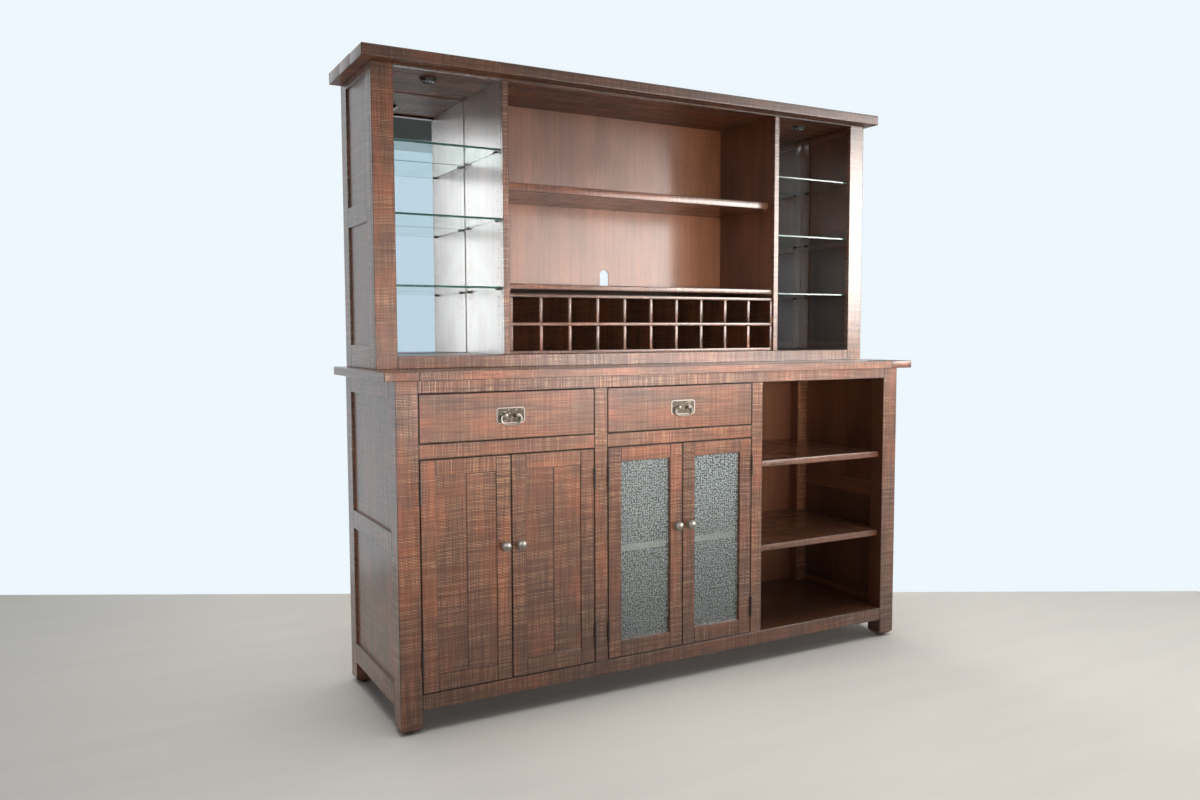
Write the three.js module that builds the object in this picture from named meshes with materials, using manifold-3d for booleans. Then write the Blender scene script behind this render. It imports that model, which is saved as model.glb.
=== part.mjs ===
// Dresser with hutch: a base cabinet with two drawers, four doors and an open shelf bay, and above it
// a hutch with two mirrored side bays, a middle shelf and a wine rack.
// Millimetres, +Z up. X runs across the front, +Y points to the back, and the origin lies on the floor
// under the middle of the outline.
import * as THREE from "three";
import { mergeVertices } from "three/addons/utils/BufferGeometryUtils.js";
import Module from "manifold-3d";

const wasm = await Module();
wasm.setup();

// Clearances and joinery
const seat = 0.3; // between pieces that touch
const reveal = 2.5; // round an inset drawer front or door
const hingeGap = 3; // between a door's edge and the frame that carries it
const tenon = 6; // how far a rail or panel enters the post beside it
const overrun = 5; // how far a cut runs past the wood
const grid = 0.001; // every corner lies on this grid, so that flush faces are exactly flush

// Counter
const counterWidth = 2133;
const counterTopHeight = 1115;
const counterThickness = 28;
const counterSideOverhang = 41.5;
const counterFrontOverhang = 36.5;
const counterEase = 3;
const breadboardWidth = 105;
const seamWidth = 3;
const seamDepth = 2;

// Base cabinet
const baseDepth = 577;
const legWidth = 70;
const legDepth = 66;
const footChamfer = 10;
const glideRadius = 16;
const glideHeight = 8;
const bottomRailClearance = 71;
const bottomRailHeight = 49;
const lockRailHeight = 46;
const drawerOpeningHeight = 154;
const topRailHeight = 40;
const mullionWidth = 48.6;
const faceFrameThickness = 22;
const endRailThickness = 22;
const endPanelRecess = 8;
const endPanelThickness = 10;
const endTopRailHeight = 58;
const endMiddleRailHeight = 64;
const endBottomRailHeight = 70;
const endBottomRailClearance = 78;
const caseBoardThickness = 20;
const bottomBoardDrop = 2; // below the top of the bottom rail
const backPanelThickness = 6;
const backPanelInset = 10;
const cleatWidth = 14;
const cleatHeight = 18;
const bayShelfThickness = 24;
const bayShelfSetback = 23;
const bayOpenings = 3; // of equal height, with a shelf between each two
const cupboardShelfThickness = 24;
const cupboardShelfSetback = 78;
const cupboardShelfShare = 0.4914; // of the height between the bottom board and the drawers' board

// Drawers
const drawerFrontThickness = 20;
const drawerSideThickness = 12;
const drawerBottomThickness = 6;
const drawerBottomRise = 8;
const drawerBoxHeight = 118;
const drawerBoxDepth = 490;
const drawerSideGap = 6;
const runnerBoardThickness = 18;
const guideHeight = 14;
const guideGap = 0.8;

// Drawer pull
const plateWidth = 98;
const plateHeight = 50;
const plateThickness = 2.4;
const plateCornerRadius = 7;
const plateBevel = 0.8;
const postSpacing = 41;
const postRadius = 5;
const postHeadRadius = 6.4;
const postReach = 12;
const postHeadLength = 5;
const postHeadShares = [[1, 0.33], [0.7, 0.8], [0, 1]]; // of the head's radius and of its length
const bailPinRadius = 1.6;
const bailPinClearance = 0.35;
const bailPinStartShare = 0.7; // of the post's radius, from its middle
const bailPivotReach = 5.6;
const bailRadius = 2.6;
const bailWidth = 74;
const bailDrop = 31;
const bailSideShares = [ // of half the width and of the drop, from the pin down
  [0.9, 0.06], [1, 0.34], [0.97, 0.66], [0.76, 0.92], [0.3, 1],
];

// Doors
const doorThickness = 22;
const doorStileWidth = 50;
const doorTopRailHeight = 50;
const doorBottomRailHeight = 54;
const doorPanelGroove = 8;
const plankPanelThickness = 11;
const plankPanelRecess = 4;
const plankSeamWidth = 4;
const plankSeamDepth = 2;
const glassThickness = 4;
const glassRecess = 13;

// Door hinge
const hingeHeight = 75;
const hingeInset = 100; // from the end of the door opening to the middle of the hinge
const knuckleCount = 5;
const barrelRadius = 4;
const hingePinRadius = 1.9;
const hingePinClearance = 0.3;
const leafDepth = 18;

// Door knob
const knobRadius = 15.75;
const knobProjection = 32;
const knobRise = 72; // above the middle of the door
const knobShares = [ // of the radius and of the projection, from the foot to the crown
  [0.57, 0.07], [0.34, 0.16], [0.32, 0.4], [0.72, 0.52], [0.97, 0.62],
  [1, 0.72], [0.92, 0.84], [0.62, 0.95], [0, 1],
];

// Hutch
const hutchSideSetback = 43.5; // from the end of the counter
const hutchSetback = 203.5;
const hutchDepth = 367.5;
const overallHeight = 2108.6;
const hutchTopThickness = 37.4;
const hutchTopSideOverhang = 39;
const hutchTopFrontOverhang = 43;
const hutchTopEase = 4;
const hutchPostWidth = 71;
const hutchFrameThickness = 20;
const hutchBottomRailHeight = 41.5;
const hutchTopRailShowing = 7;
const hutchTopRailHoused = 16;
const hutchStileWidth = 48;
const hutchRearStileWidth = 66;
const hutchEndThickness = 22;
const hutchPanelRecess = 7;
const hutchPanelThickness = 9;
const hutchEndTopRailHeight = 26;
const hutchEndMiddleRailHeight = 67;
const hutchEndBottomRailHeight = 76;
const hutchFloorThickness = 18;
const hutchBackInset = 5;
const dividerThickness = 22;
const middleBayShare = 0.5614; // of the width between the ends
const mirrorThickness = 4;
const middleShelfShare = 0.635; // of the height between the floor board and the ceiling
const middleShelfThickness = 26.8;
const middleShelfSetback = 35;
const deckThickness = 18.3;
const deckSetback = 8;
const cableHoleWidth = 40;
const cableHoleHeight = 81;

// Wine rack
const rackColumns = 10;
const rackRows = 2;
const rackBoardThickness = 12;
const rackHeight = 206;
const rackSetback = 6;
const rackHeadroom = 15.1; // under the deck

// Glass shelves
const glassShelfThickness = 7;
const glassShelfEndGap = 1.5;
const glassShelfShares = [0.75, 0.5, 0.25]; // of the height between the floor board and the ceiling
const clipReach = 13;
const clipWidth = 9;
const clipHeight = 4;
const clipFromFront = 45;
const clipFromBack = 40;

// Puck light
const puckRadius = 29;
const puckRimRadius = 24;
const puckHeight = 11;
const puckStep = 4;
const puckFromFront = 135;

// Worked out from the sizes above
const backY = (baseDepth + counterFrontOverhang) / 2;
const frontY = backY - baseDepth;
const endX = counterWidth / 2 - counterSideOverhang;
const legInnerX = endX - legWidth;
const endRailInnerX = endX - endRailThickness;
const endPanelInnerX = endX - endPanelRecess - endPanelThickness;
const counterBottom = counterTopHeight - counterThickness;
const bottomRailTop = bottomRailClearance + bottomRailHeight;
const topRailBottom = counterBottom - topRailHeight;
const lockRailTop = topRailBottom - drawerOpeningHeight;
const lockRailBottom = lockRailTop - lockRailHeight;
const bayWidth = (legInnerX + legInnerX - mullionWidth - mullionWidth) / 3;
const middleBayEdgeX = bayWidth / 2;
const sideBayEdgeX = middleBayEdgeX + mullionWidth;
const frameBackY = frontY + faceFrameThickness;
const basePanelY = backY - backPanelInset - backPanelThickness;
const bottomBoardTop = bottomRailTop - bottomBoardDrop;
const runnerBottom = lockRailTop - runnerBoardThickness;
const partitionX = middleBayEdgeX + mullionWidth / 2;
const rightPartitionOuterX = sideBayEdgeX;
const rightPartitionInnerX = sideBayEdgeX - caseBoardThickness;
const leftPartitionHalf = caseBoardThickness / 2;
const endMiddleRailBottom = (endBottomRailClearance + endBottomRailHeight
  + counterBottom - endTopRailHeight - endMiddleRailHeight) / 2;
const cupboardShelfHeight = bottomBoardTop + (runnerBottom - bottomBoardTop) * cupboardShelfShare;
const bayStep = (topRailBottom - bottomBoardTop + bayShelfThickness) / bayOpenings;

const hutchEndX = counterWidth / 2 - hutchSideSetback;
const hutchPostInnerX = hutchEndX - hutchPostWidth;
const hutchEndInnerX = hutchEndX - hutchEndThickness;
const hutchFrontY = frontY + hutchSetback;
const hutchBackY = hutchFrontY + hutchDepth;
const hutchFrameBackY = hutchFrontY + hutchFrameThickness;
const hutchPanelY = hutchBackY - hutchBackInset - backPanelThickness;
const mirrorY = hutchPanelY - seat - mirrorThickness;
const ceiling = overallHeight - hutchTopThickness;
const hutchTopRailBottom = ceiling - hutchTopRailShowing;
const hutchFloorTop = counterTopHeight + hutchBottomRailHeight;
const hutchEndMiddleRailBottom = (counterTopHeight + hutchEndBottomRailHeight
  + ceiling - hutchEndTopRailHeight - hutchEndMiddleRailHeight) / 2;
const bayHeight = ceiling - hutchFloorTop;
const middleShelfHeight = hutchFloorTop + bayHeight * middleShelfShare;
const deckHeight = hutchFloorTop + rackHeight + rackHeadroom + deckThickness;
const glassShelfHeights = glassShelfShares.map((share) => hutchFloorTop + bayHeight * share);
const dividerInnerX = hutchEndInnerX * middleBayShare;
const dividerOuterX = dividerInnerX + dividerThickness;

const finishes = {
  sawnWood: new THREE.MeshStandardMaterial({ color: 0x6b4030, roughness: 0.65, metalness: 0 }),
  veneer: new THREE.MeshStandardMaterial({ color: 0x57362a, roughness: 0.45, metalness: 0 }),
  drawerWood: new THREE.MeshStandardMaterial({ color: 0xb08a62, roughness: 0.6, metalness: 0 }),
  clearGlass: new THREE.MeshStandardMaterial({ color: 0xbfe0d6, roughness: 0.05, metalness: 0 }),
  texturedGlass: new THREE.MeshStandardMaterial({ color: 0x8fa3a3, roughness: 0.25, metalness: 0 }),
  mirror: new THREE.MeshStandardMaterial({ color: 0xd5dde2, roughness: 0.03, metalness: 1 }),
  agedMetal: new THREE.MeshStandardMaterial({ color: 0x6e6760, roughness: 0.45, metalness: 0.9 }),
  blackMetal: new THREE.MeshStandardMaterial({ color: 0x1d1b1a, roughness: 0.5, metalness: 0.8 }),
};

const furniture = new THREE.Group();

// Solids from three.js shapes
function toSolid(shape) {
  const bare = shape.index ? shape.toNonIndexed() : shape;
  bare.deleteAttribute("normal");
  bare.deleteAttribute("uv");
  const welded = mergeVertices(bare, grid / 2);
  const corners = welded.getAttribute("position").array;
  return new wasm.Manifold(new wasm.Mesh({
    numProp: 3,
    vertProperties: corners.map((value) => Math.round(value / grid) * grid),
    triVerts: new Uint32Array(welded.index.array),
  }));
}

function block(x0, x1, y0, y1, z0, z1) {
  const box = new THREE.BoxGeometry(Math.abs(x1 - x0), Math.abs(y1 - y0), Math.abs(z1 - z0));
  box.translate((x0 + x1) / 2, (y0 + y1) / 2, (z0 + z1) / 2);
  return toSolid(box);
}

function join(first, ...others) {
  return others.reduce((whole, next) => whole.add(next), first);
}

function cut(body, ...tools) {
  return tools.reduce((rest, tool) => rest.subtract(tool), body);
}

function rodAlongX(radius, x0, x1, y, z, sides = 12) {
  const rod = new THREE.CylinderGeometry(radius, radius, Math.abs(x1 - x0), sides);
  rod.rotateZ(Math.PI / 2);
  rod.translate((x0 + x1) / 2, y, z);
  return toSolid(rod);
}

function rodAlongZ(radius, x, y, z0, z1, sides = 12) {
  const rod = new THREE.CylinderGeometry(radius, radius, z1 - z0, sides);
  rod.rotateX(Math.PI / 2);
  rod.translate(x, y, (z0 + z1) / 2);
  return toSolid(rod);
}

// A turned shape standing out of the front at (x, z); each point is a radius and its distance from faceY.
function turnedForward(points, x, faceY, z, sides) {
  const outline = points.map(([radius, reach]) => new THREE.Vector2(radius, reach));
  const turned = new THREE.LatheGeometry(outline, sides);
  turned.rotateX(Math.PI);
  turned.translate(x, faceY, z);
  return toSolid(turned);
}

// A board with eased edges, lying flat.
function easedBoard(x0, x1, y0, y1, z0, z1, ease) {
  const outline = new THREE.Shape();
  outline.moveTo(x0 + ease, y0 + ease);
  outline.lineTo(x1 - ease, y0 + ease);
  outline.lineTo(x1 - ease, y1 - ease);
  outline.lineTo(x0 + ease, y1 - ease);
  outline.closePath();
  const board = new THREE.ExtrudeGeometry(outline, {
    depth: z1 - z0 - ease - ease,
    bevelThickness: ease,
    bevelSize: ease,
    bevelSegments: 3,
    curveSegments: 1,
  });
  board.translate(0, 0, z0 + ease);
  return toSolid(board);
}

// A V-shaped groove in a face that looks along -Y, running up from z0 to z1.
function frontGroove(x, faceY, z0, z1, width, depth) {
  const vee = new THREE.CylinderGeometry(width / 2, width / 2, z1 - z0, 4, 1);
  vee.rotateX(Math.PI / 2);
  vee.scale(1, depth / (width / 2), 1);
  vee.translate(x, faceY, (z0 + z1) / 2);
  return toSolid(vee);
}

// A V-shaped groove in a face that looks along +Z or -Z, running from y0 to y1.
function flatGroove(x, y0, y1, faceZ, width, depth) {
  const vee = new THREE.CylinderGeometry(width / 2, width / 2, y1 - y0, 4, 1);
  vee.scale(1, 1, depth / (width / 2));
  vee.translate(x, (y0 + y1) / 2, faceZ);
  return toSolid(vee);
}

function place(name, solid, finish) {
  const { vertProperties, triVerts } = solid.getMesh();
  const shape = new THREE.BufferGeometry();
  shape.setAttribute("position", new THREE.BufferAttribute(vertProperties, 3));
  shape.setIndex(new THREE.BufferAttribute(triVerts, 1));
  shape.computeVertexNormals();
  const mesh = new THREE.Mesh(shape, finish);
  mesh.name = name;
  furniture.add(mesh);
}

// Base cabinet: panelled ends with their legs

// A square leg whose foot is chamfered all round and stands on a round glide.
function leg(side, y0) {
  const height = counterBottom - seat - glideHeight;
  const post = new THREE.BoxGeometry(legWidth, legDepth, height, 1, 1, 2);
  const corners = post.getAttribute("position");
  for (let i = 0; i < corners.count; i += 1) {
    const level = Math.round(corners.getZ(i) / (height / 2));
    if (level === 0) {
      corners.setZ(i, footChamfer - height / 2);
    }
    if (level < 0) {
      corners.setX(i, corners.getX(i) - Math.sign(corners.getX(i)) * footChamfer);
      corners.setY(i, corners.getY(i) - Math.sign(corners.getY(i)) * footChamfer);
    }
  }
  const legX = side * (endX - legWidth / 2);
  const legY = y0 + legDepth / 2;
  post.translate(legX, legY, glideHeight + height / 2);
  return join(toSolid(post), rodAlongZ(glideRadius, legX, legY, 0, glideHeight + footChamfer, 16));
}

// The room that a leg and its clearance take, cut from every board that passes it.
function legRoom() {
  const rooms = [];
  for (const side of [-1, 1]) {
    for (const y0 of [frontY, backY - legDepth]) {
      rooms.push(block(side * (endX + seat), side * (legInnerX - seat), y0 - seat, y0 + legDepth + seat,
        0, counterBottom));
    }
  }
  return rooms;
}

function cleat(x, direction, top) {
  return block(x - direction * tenon / 2, x + direction * cleatWidth, frontY + legDepth - tenon,
    backY - legDepth + tenon, top - seat - cleatHeight, top - seat);
}

function baseEnd(side, shelfBottoms) {
  const y0 = frontY + legDepth - tenon;
  const y1 = backY - legDepth + tenon;
  const rails = [
    [endBottomRailClearance, endBottomRailClearance + endBottomRailHeight],
    [endMiddleRailBottom, endMiddleRailBottom + endMiddleRailHeight],
    [counterBottom - endTopRailHeight, counterBottom - seat],
  ];
  let end = join(leg(side, frontY), leg(side, backY - legDepth));
  for (const [low, high] of rails) {
    end = end.add(block(side * endX, side * endRailInnerX, y0, y1, low, high));
  }
  for (let i = 0; i + 1 < rails.length; i += 1) {
    end = end.add(block(side * (endX - endPanelRecess), side * endPanelInnerX, y0, y1,
      rails[i][1] - tenon, rails[i + 1][0] + tenon));
  }
  for (const bottom of shelfBottoms) {
    end = end.add(cleat(side * endPanelInnerX, -side, bottom));
  }
  return end.add(cleat(side * endRailInnerX, -side, bottomBoardTop - caseBoardThickness));
}

const cupboardShelfBottom = cupboardShelfHeight - cupboardShelfThickness;
const bayShelfHeights = [2, 1].map((step) => bottomBoardTop + step * bayStep);
const bayShelfBottoms = bayShelfHeights.map((top) => top - bayShelfThickness);
place("base_end_left", baseEnd(-1, [cupboardShelfBottom, runnerBottom]), finishes.sawnWood);
place("base_end_right", baseEnd(1, bayShelfBottoms), finishes.sawnWood);

// Face frame between the front legs
function baseFaceFrame() {
  const left = -legInnerX + seat;
  const right = legInnerX - seat;
  const rail = (x0, x1, z0, z1) => block(x0, x1, frontY, frameBackY, z0, z1);
  const mullion = (x0) => rail(x0, x0 + mullionWidth, bottomRailTop - tenon, topRailBottom + tenon);
  return join(
    rail(left, right, bottomRailClearance, bottomRailTop),
    rail(left, right, topRailBottom, counterBottom - seat),
    mullion(-sideBayEdgeX),
    mullion(middleBayEdgeX),
    rail(left, -sideBayEdgeX + tenon, lockRailBottom, lockRailTop),
    rail(-middleBayEdgeX - tenon, middleBayEdgeX + tenon, lockRailBottom, lockRailTop),
  );
}
place("base_face_frame", baseFaceFrame(), finishes.sawnWood);

// Inside boards
const insideY0 = frameBackY + seat;
const insideY1 = basePanelY - seat;

function partitionCleat(x, direction, top, y0) {
  return block(x - direction * tenon / 2, x + direction * cleatWidth, y0, insideY1 - tenon,
    top - seat - cleatHeight, top - seat);
}

const leftPartition = block(-partitionX - leftPartitionHalf, -partitionX + leftPartitionHalf, insideY0,
  insideY1, bottomBoardTop + seat, runnerBottom - seat);
const rightPartition = block(rightPartitionInnerX, rightPartitionOuterX, insideY0, insideY1,
  bottomBoardTop + seat, counterBottom - seat);
const cupboardCleatY = frontY + cupboardShelfSetback + tenon;
const bayCleatY = frontY + bayShelfSetback + tenon;
place("base_partition_left", join(
  leftPartition,
  partitionCleat(-partitionX - leftPartitionHalf, -1, cupboardShelfBottom, cupboardCleatY),
  partitionCleat(-partitionX + leftPartitionHalf, 1, cupboardShelfBottom, cupboardCleatY),
), finishes.veneer);
place("base_partition_right", join(
  rightPartition,
  partitionCleat(rightPartitionInnerX, -1, cupboardShelfBottom, cupboardCleatY),
  partitionCleat(rightPartitionInnerX, -1, runnerBottom, insideY0),
  ...bayShelfBottoms.map((bottom) => partitionCleat(rightPartitionOuterX, 1, bottom, bayCleatY)),
), finishes.veneer);

place("base_bottom_board", cut(
  block(-endRailInnerX + seat, endRailInnerX - seat, insideY0, insideY1,
    bottomBoardTop - caseBoardThickness, bottomBoardTop),
  ...legRoom(),
), finishes.veneer);
place("base_back_panel", block(-legInnerX + seat, legInnerX - seat, basePanelY,
  basePanelY + backPanelThickness, bottomBoardTop - caseBoardThickness, counterBottom - seat),
finishes.veneer);

function insideShelf(x0, x1, setback, top, thickness) {
  return cut(
    block(x0 + seat, x1 - seat, frontY + setback, insideY1, top - thickness, top),
    ...legRoom(),
  );
}
place("cupboard_shelf_left", insideShelf(-endRailInnerX, -partitionX - leftPartitionHalf,
  cupboardShelfSetback, cupboardShelfHeight, cupboardShelfThickness), finishes.veneer);
place("cupboard_shelf_right", insideShelf(-partitionX + leftPartitionHalf, rightPartitionInnerX,
  cupboardShelfSetback, cupboardShelfHeight, cupboardShelfThickness), finishes.veneer);
["upper", "lower"].forEach((level, i) => {
  place(`bay_shelf_${level}`, insideShelf(rightPartitionOuterX, endRailInnerX, bayShelfSetback,
    bayShelfHeights[i], bayShelfThickness), finishes.sawnWood);
});

// Dust board that the drawers run on, with side guides glued to it
function drawerRunnerBoard() {
  const left = -endRailInnerX + seat;
  const right = rightPartitionInnerX - seat;
  const guide = (x0, x1) => block(x0, x1, insideY0, insideY1, lockRailTop - tenon, lockRailTop + guideHeight);
  const boxEdge = drawerSideGap - guideGap;
  return cut(
    join(
      block(left, right, insideY0, insideY1, runnerBottom, lockRailTop),
      guide(left, -legInnerX + boxEdge),
      guide(-sideBayEdgeX - boxEdge, -middleBayEdgeX + boxEdge),
      guide(middleBayEdgeX - boxEdge, right),
    ),
    ...legRoom(),
  );
}
place("drawer_runner_board", drawerRunnerBoard(), finishes.drawerWood);

// Drawers
const pullZ = (lockRailTop + topRailBottom) / 2;

function drawerBox(x0, x1) {
  const boxX0 = x0 + drawerSideGap;
  const boxX1 = x1 - drawerSideGap;
  const floor = lockRailTop + seat;
  const top = floor + drawerBoxHeight;
  const frontBackY = frontY + drawerFrontThickness;
  const boxBackY = frontY + drawerBoxDepth;
  const tray = cut(
    block(boxX0, boxX1, frontBackY - tenon, boxBackY, floor, top),
    block(boxX0 + drawerSideThickness, boxX1 - drawerSideThickness, frontBackY,
      boxBackY - drawerSideThickness, floor + drawerBottomRise + drawerBottomThickness, top + overrun),
    block(boxX0 + drawerSideThickness, boxX1 - drawerSideThickness, frontBackY,
      boxBackY - drawerSideThickness, floor - overrun, floor + drawerBottomRise),
  );
  const front = block(x0 + reveal, x1 - reveal, frontY, frontBackY,
    lockRailTop + reveal, topRailBottom - reveal);
  return join(tray, front);
}

// Pull plate with two round-headed posts, each bored across for the bail's pin
function pullPlate(x) {
  const halfX = plateWidth / 2 - plateCornerRadius - plateBevel;
  const halfZ = plateHeight / 2 - plateCornerRadius - plateBevel;
  const outline = new THREE.Shape();
  outline.absarc(halfX, halfZ, plateCornerRadius, 0, Math.PI / 2);
  outline.absarc(-halfX, halfZ, plateCornerRadius, Math.PI / 2, Math.PI);
  outline.absarc(-halfX, -halfZ, plateCornerRadius, Math.PI, Math.PI * 1.5);
  outline.absarc(halfX, -halfZ, plateCornerRadius, Math.PI * 1.5, Math.PI * 2);
  const plate = new THREE.ExtrudeGeometry(outline, {
    depth: plateThickness - plateBevel - plateBevel,
    bevelThickness: plateBevel,
    bevelSize: plateBevel,
    bevelSegments: 1,
    curveSegments: 3,
  });
  plate.rotateX(Math.PI / 2);
  const backFace = frontY - seat;
  plate.translate(x, backFace - plateBevel, pullZ);
  let pull = toSolid(plate);
  const face = backFace - plateThickness;
  const pivotY = face - bailPivotReach;
  for (const side of [-1, 1]) {
    const postX = x + side * postSpacing / 2;
    const neckEnd = postReach - postHeadLength;
    const head = postHeadShares.map(([radiusShare, lengthShare]) =>
      [postHeadRadius * radiusShare, neckEnd + postHeadLength * lengthShare]);
    const post = turnedForward([
      [0, -plateThickness / 2],
      [postRadius, -plateThickness / 2],
      [postRadius, neckEnd],
      ...head,
    ], postX, face, pullZ, 14);
    const bore = rodAlongX(bailPinRadius + bailPinClearance, postX - postRadius - overrun,
      postX + postRadius + overrun, pivotY, pullZ, 10);
    pull = pull.add(post).subtract(bore);
  }
  return pull;
}

// Bail: two pins in the posts, and a round bar that swells outward and hangs below them
function pullBail(x) {
  const pivotY = frontY - seat - plateThickness - bailPivotReach;
  const pinStart = postSpacing / 2 - postRadius * bailPinStartShare;
  const barStart = postSpacing / 2 + postHeadRadius + seat;
  const half = bailWidth / 2 - bailRadius;
  const drop = bailDrop - bailRadius;
  const turns = bailSideShares.map(([widthShare, dropShare]) => [half * widthShare, -drop * dropShare]);
  const oneSide = (side) => [[barStart, 0], ...turns].map(([px, pz]) => new THREE.Vector3(side * px, 0, pz));
  const route = new THREE.CatmullRomCurve3([...oneSide(1), ...oneSide(-1).reverse()]);
  const section = new THREE.Shape();
  section.absarc(0, 0, bailRadius, 0, Math.PI * 2);
  const bar = new THREE.ExtrudeGeometry(section, { steps: 30, extrudePath: route, curveSegments: 4 });
  bar.translate(x, pivotY, pullZ);
  const pin = (side) => rodAlongX(bailPinRadius, x + side * pinStart, x + side * (barStart + bailRadius),
    pivotY, pullZ, 10);
  return join(toSolid(bar), pin(-1), pin(1));
}

const drawers = [
  ["drawer_left", -legInnerX, -sideBayEdgeX],
  ["drawer_right", -middleBayEdgeX, middleBayEdgeX],
];
for (const [name, x0, x1] of drawers) {
  const centreX = (x0 + x1) / 2;
  place(`${name}_box`, drawerBox(x0, x1), finishes.sawnWood);
  place(`${name}_pull_plate`, pullPlate(centreX), finishes.agedMetal);
  place(`${name}_bail`, pullBail(centreX), finishes.agedMetal);
}

// Doors and their hinges
const doorWidth = (bayWidth - hingeGap - hingeGap - hingeGap) / 2;
const doorBottom = bottomRailTop + reveal;
const doorTop = lockRailBottom - reveal;
const leafThickness = (hingeGap - seat - seat) / 2;
const hingeAxisReach = barrelRadius + seat;
const hingeMiddles = [["lower", bottomRailTop + hingeInset], ["upper", lockRailBottom - hingeInset]];
const knuckleHeight = hingeHeight / knuckleCount;

// A leaf is a flat comb: its teeth reach forward to the knuckles that it carries
function hingeLeaf(x0, x1, bottom, firstKnuckle) {
  const axisY = frontY - hingeAxisReach;
  const top = bottom + hingeHeight;
  const comb = new THREE.Shape();
  comb.moveTo(frontY + leafDepth, bottom);
  comb.lineTo(frontY + leafDepth, top);
  comb.lineTo(frontY, top);
  for (let i = knuckleCount - 1; i >= 0; i -= 1) {
    if (i % 2 === firstKnuckle) {
      const toothTop = bottom + (i + 1) * knuckleHeight - seat;
      const toothBottom = bottom + i * knuckleHeight + seat;
      comb.lineTo(frontY, toothTop);
      comb.lineTo(axisY, toothTop);
      comb.lineTo(axisY, toothBottom);
      comb.lineTo(frontY, toothBottom);
    }
  }
  comb.lineTo(frontY, bottom);
  comb.closePath();
  const leaf = new THREE.ExtrudeGeometry(comb, { depth: Math.abs(x1 - x0), bevelEnabled: false });
  leaf.applyMatrix4(new THREE.Matrix4().set(0, 0, 1, Math.min(x0, x1), 1, 0, 0, 0, 0, 1, 0, 0, 0, 0, 0, 1));
  return toSolid(leaf);
}

function knuckles(hingeX, direction, bottom, firstKnuckle) {
  const axisX = hingeX + direction * hingeGap / 2;
  const barrels = [];
  for (let i = firstKnuckle; i < knuckleCount; i += 2) {
    barrels.push(rodAlongZ(barrelRadius, axisX, frontY - hingeAxisReach,
      bottom + i * knuckleHeight + seat / 2, bottom + (i + 1) * knuckleHeight - seat / 2, 14));
  }
  return barrels;
}

function hingePin(hingeX, direction, radius, z0, z1) {
  return rodAlongZ(radius, hingeX + direction * hingeGap / 2, frontY - hingeAxisReach, z0, z1, 10);
}

// Cabinet leaf with the outer and middle knuckles and the pin that runs through all five
function cabinetLeaf(hingeX, direction, middle) {
  const bottom = middle - hingeHeight / 2;
  const x0 = hingeX + direction * seat;
  return join(
    hingeLeaf(x0, x0 + direction * leafThickness, bottom, 0),
    ...knuckles(hingeX, direction, bottom, 0),
    hingePin(hingeX, direction, hingePinRadius, bottom + seat, bottom + hingeHeight - seat),
  );
}

// Door leaf with the two knuckles between, bored for the pin; it is screwed to the door's edge
function doorLeaf(hingeX, direction, middle) {
  const bottom = middle - hingeHeight / 2;
  const x0 = hingeX + direction * (hingeGap - leafThickness);
  return join(
    hingeLeaf(x0, x0 + direction * (leafThickness + leafThickness), bottom, 1),
    ...knuckles(hingeX, direction, bottom, 1),
  ).subtract(hingePin(hingeX, direction, hingePinRadius + hingePinClearance, bottom - overrun,
    bottom + hingeHeight + overrun));
}

function doorFrame(hingeX, direction, infill) {
  const x0 = hingeX + direction * hingeGap;
  const x1 = x0 + direction * doorWidth;
  const stile = direction * doorStileWidth;
  const frame = cut(
    block(x0, x1, frontY, frontY + doorThickness, doorBottom, doorTop),
    block(x0 + stile, x1 - stile, frontY - overrun, frontY + doorThickness + overrun,
      doorBottom + doorBottomRailHeight, doorTop - doorTopRailHeight),
    doorInfill(hingeX, direction, infill.recess - seat, infill.thickness + seat + seat, seat),
  );
  return join(frame, ...hingeMiddles.map(([, middle]) => doorLeaf(hingeX, direction, middle)));
}

// The panel or pane that sits in the frame's groove, grown on every edge by margin
function doorInfill(hingeX, direction, recess, thickness, margin) {
  const stile = doorStileWidth - doorPanelGroove - margin;
  const x0 = hingeX + direction * (hingeGap + stile);
  const x1 = hingeX + direction * (hingeGap + doorWidth - stile);
  return block(x0, x1, frontY + recess, frontY + recess + thickness,
    doorBottom + doorBottomRailHeight - doorPanelGroove - margin,
    doorTop - doorTopRailHeight + doorPanelGroove + margin);
}

function plankPanel(hingeX, direction, infill) {
  const middleX = hingeX + direction * (hingeGap + doorWidth / 2);
  const z0 = doorBottom - overrun;
  const z1 = doorTop + overrun;
  return cut(
    doorInfill(hingeX, direction, infill.recess, infill.thickness, 0),
    frontGroove(middleX, frontY + infill.recess, z0, z1, plankSeamWidth, plankSeamDepth),
    frontGroove(middleX, frontY + infill.recess + infill.thickness, z0, z1, plankSeamWidth, plankSeamDepth),
  );
}

function knob(x) {
  const middle = (doorBottom + doorTop) / 2;
  const outline = knobShares.map(([radiusShare, reachShare]) =>
    [knobRadius * radiusShare, knobProjection * reachShare]);
  const foot = [[0, seat], [outline[0][0], seat]];
  return turnedForward([...foot, ...outline], x, frontY, middle + knobRise, 24);
}

function glassPane(hingeX, direction, infill) {
  return doorInfill(hingeX, direction, infill.recess, infill.thickness, 0);
}

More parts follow.
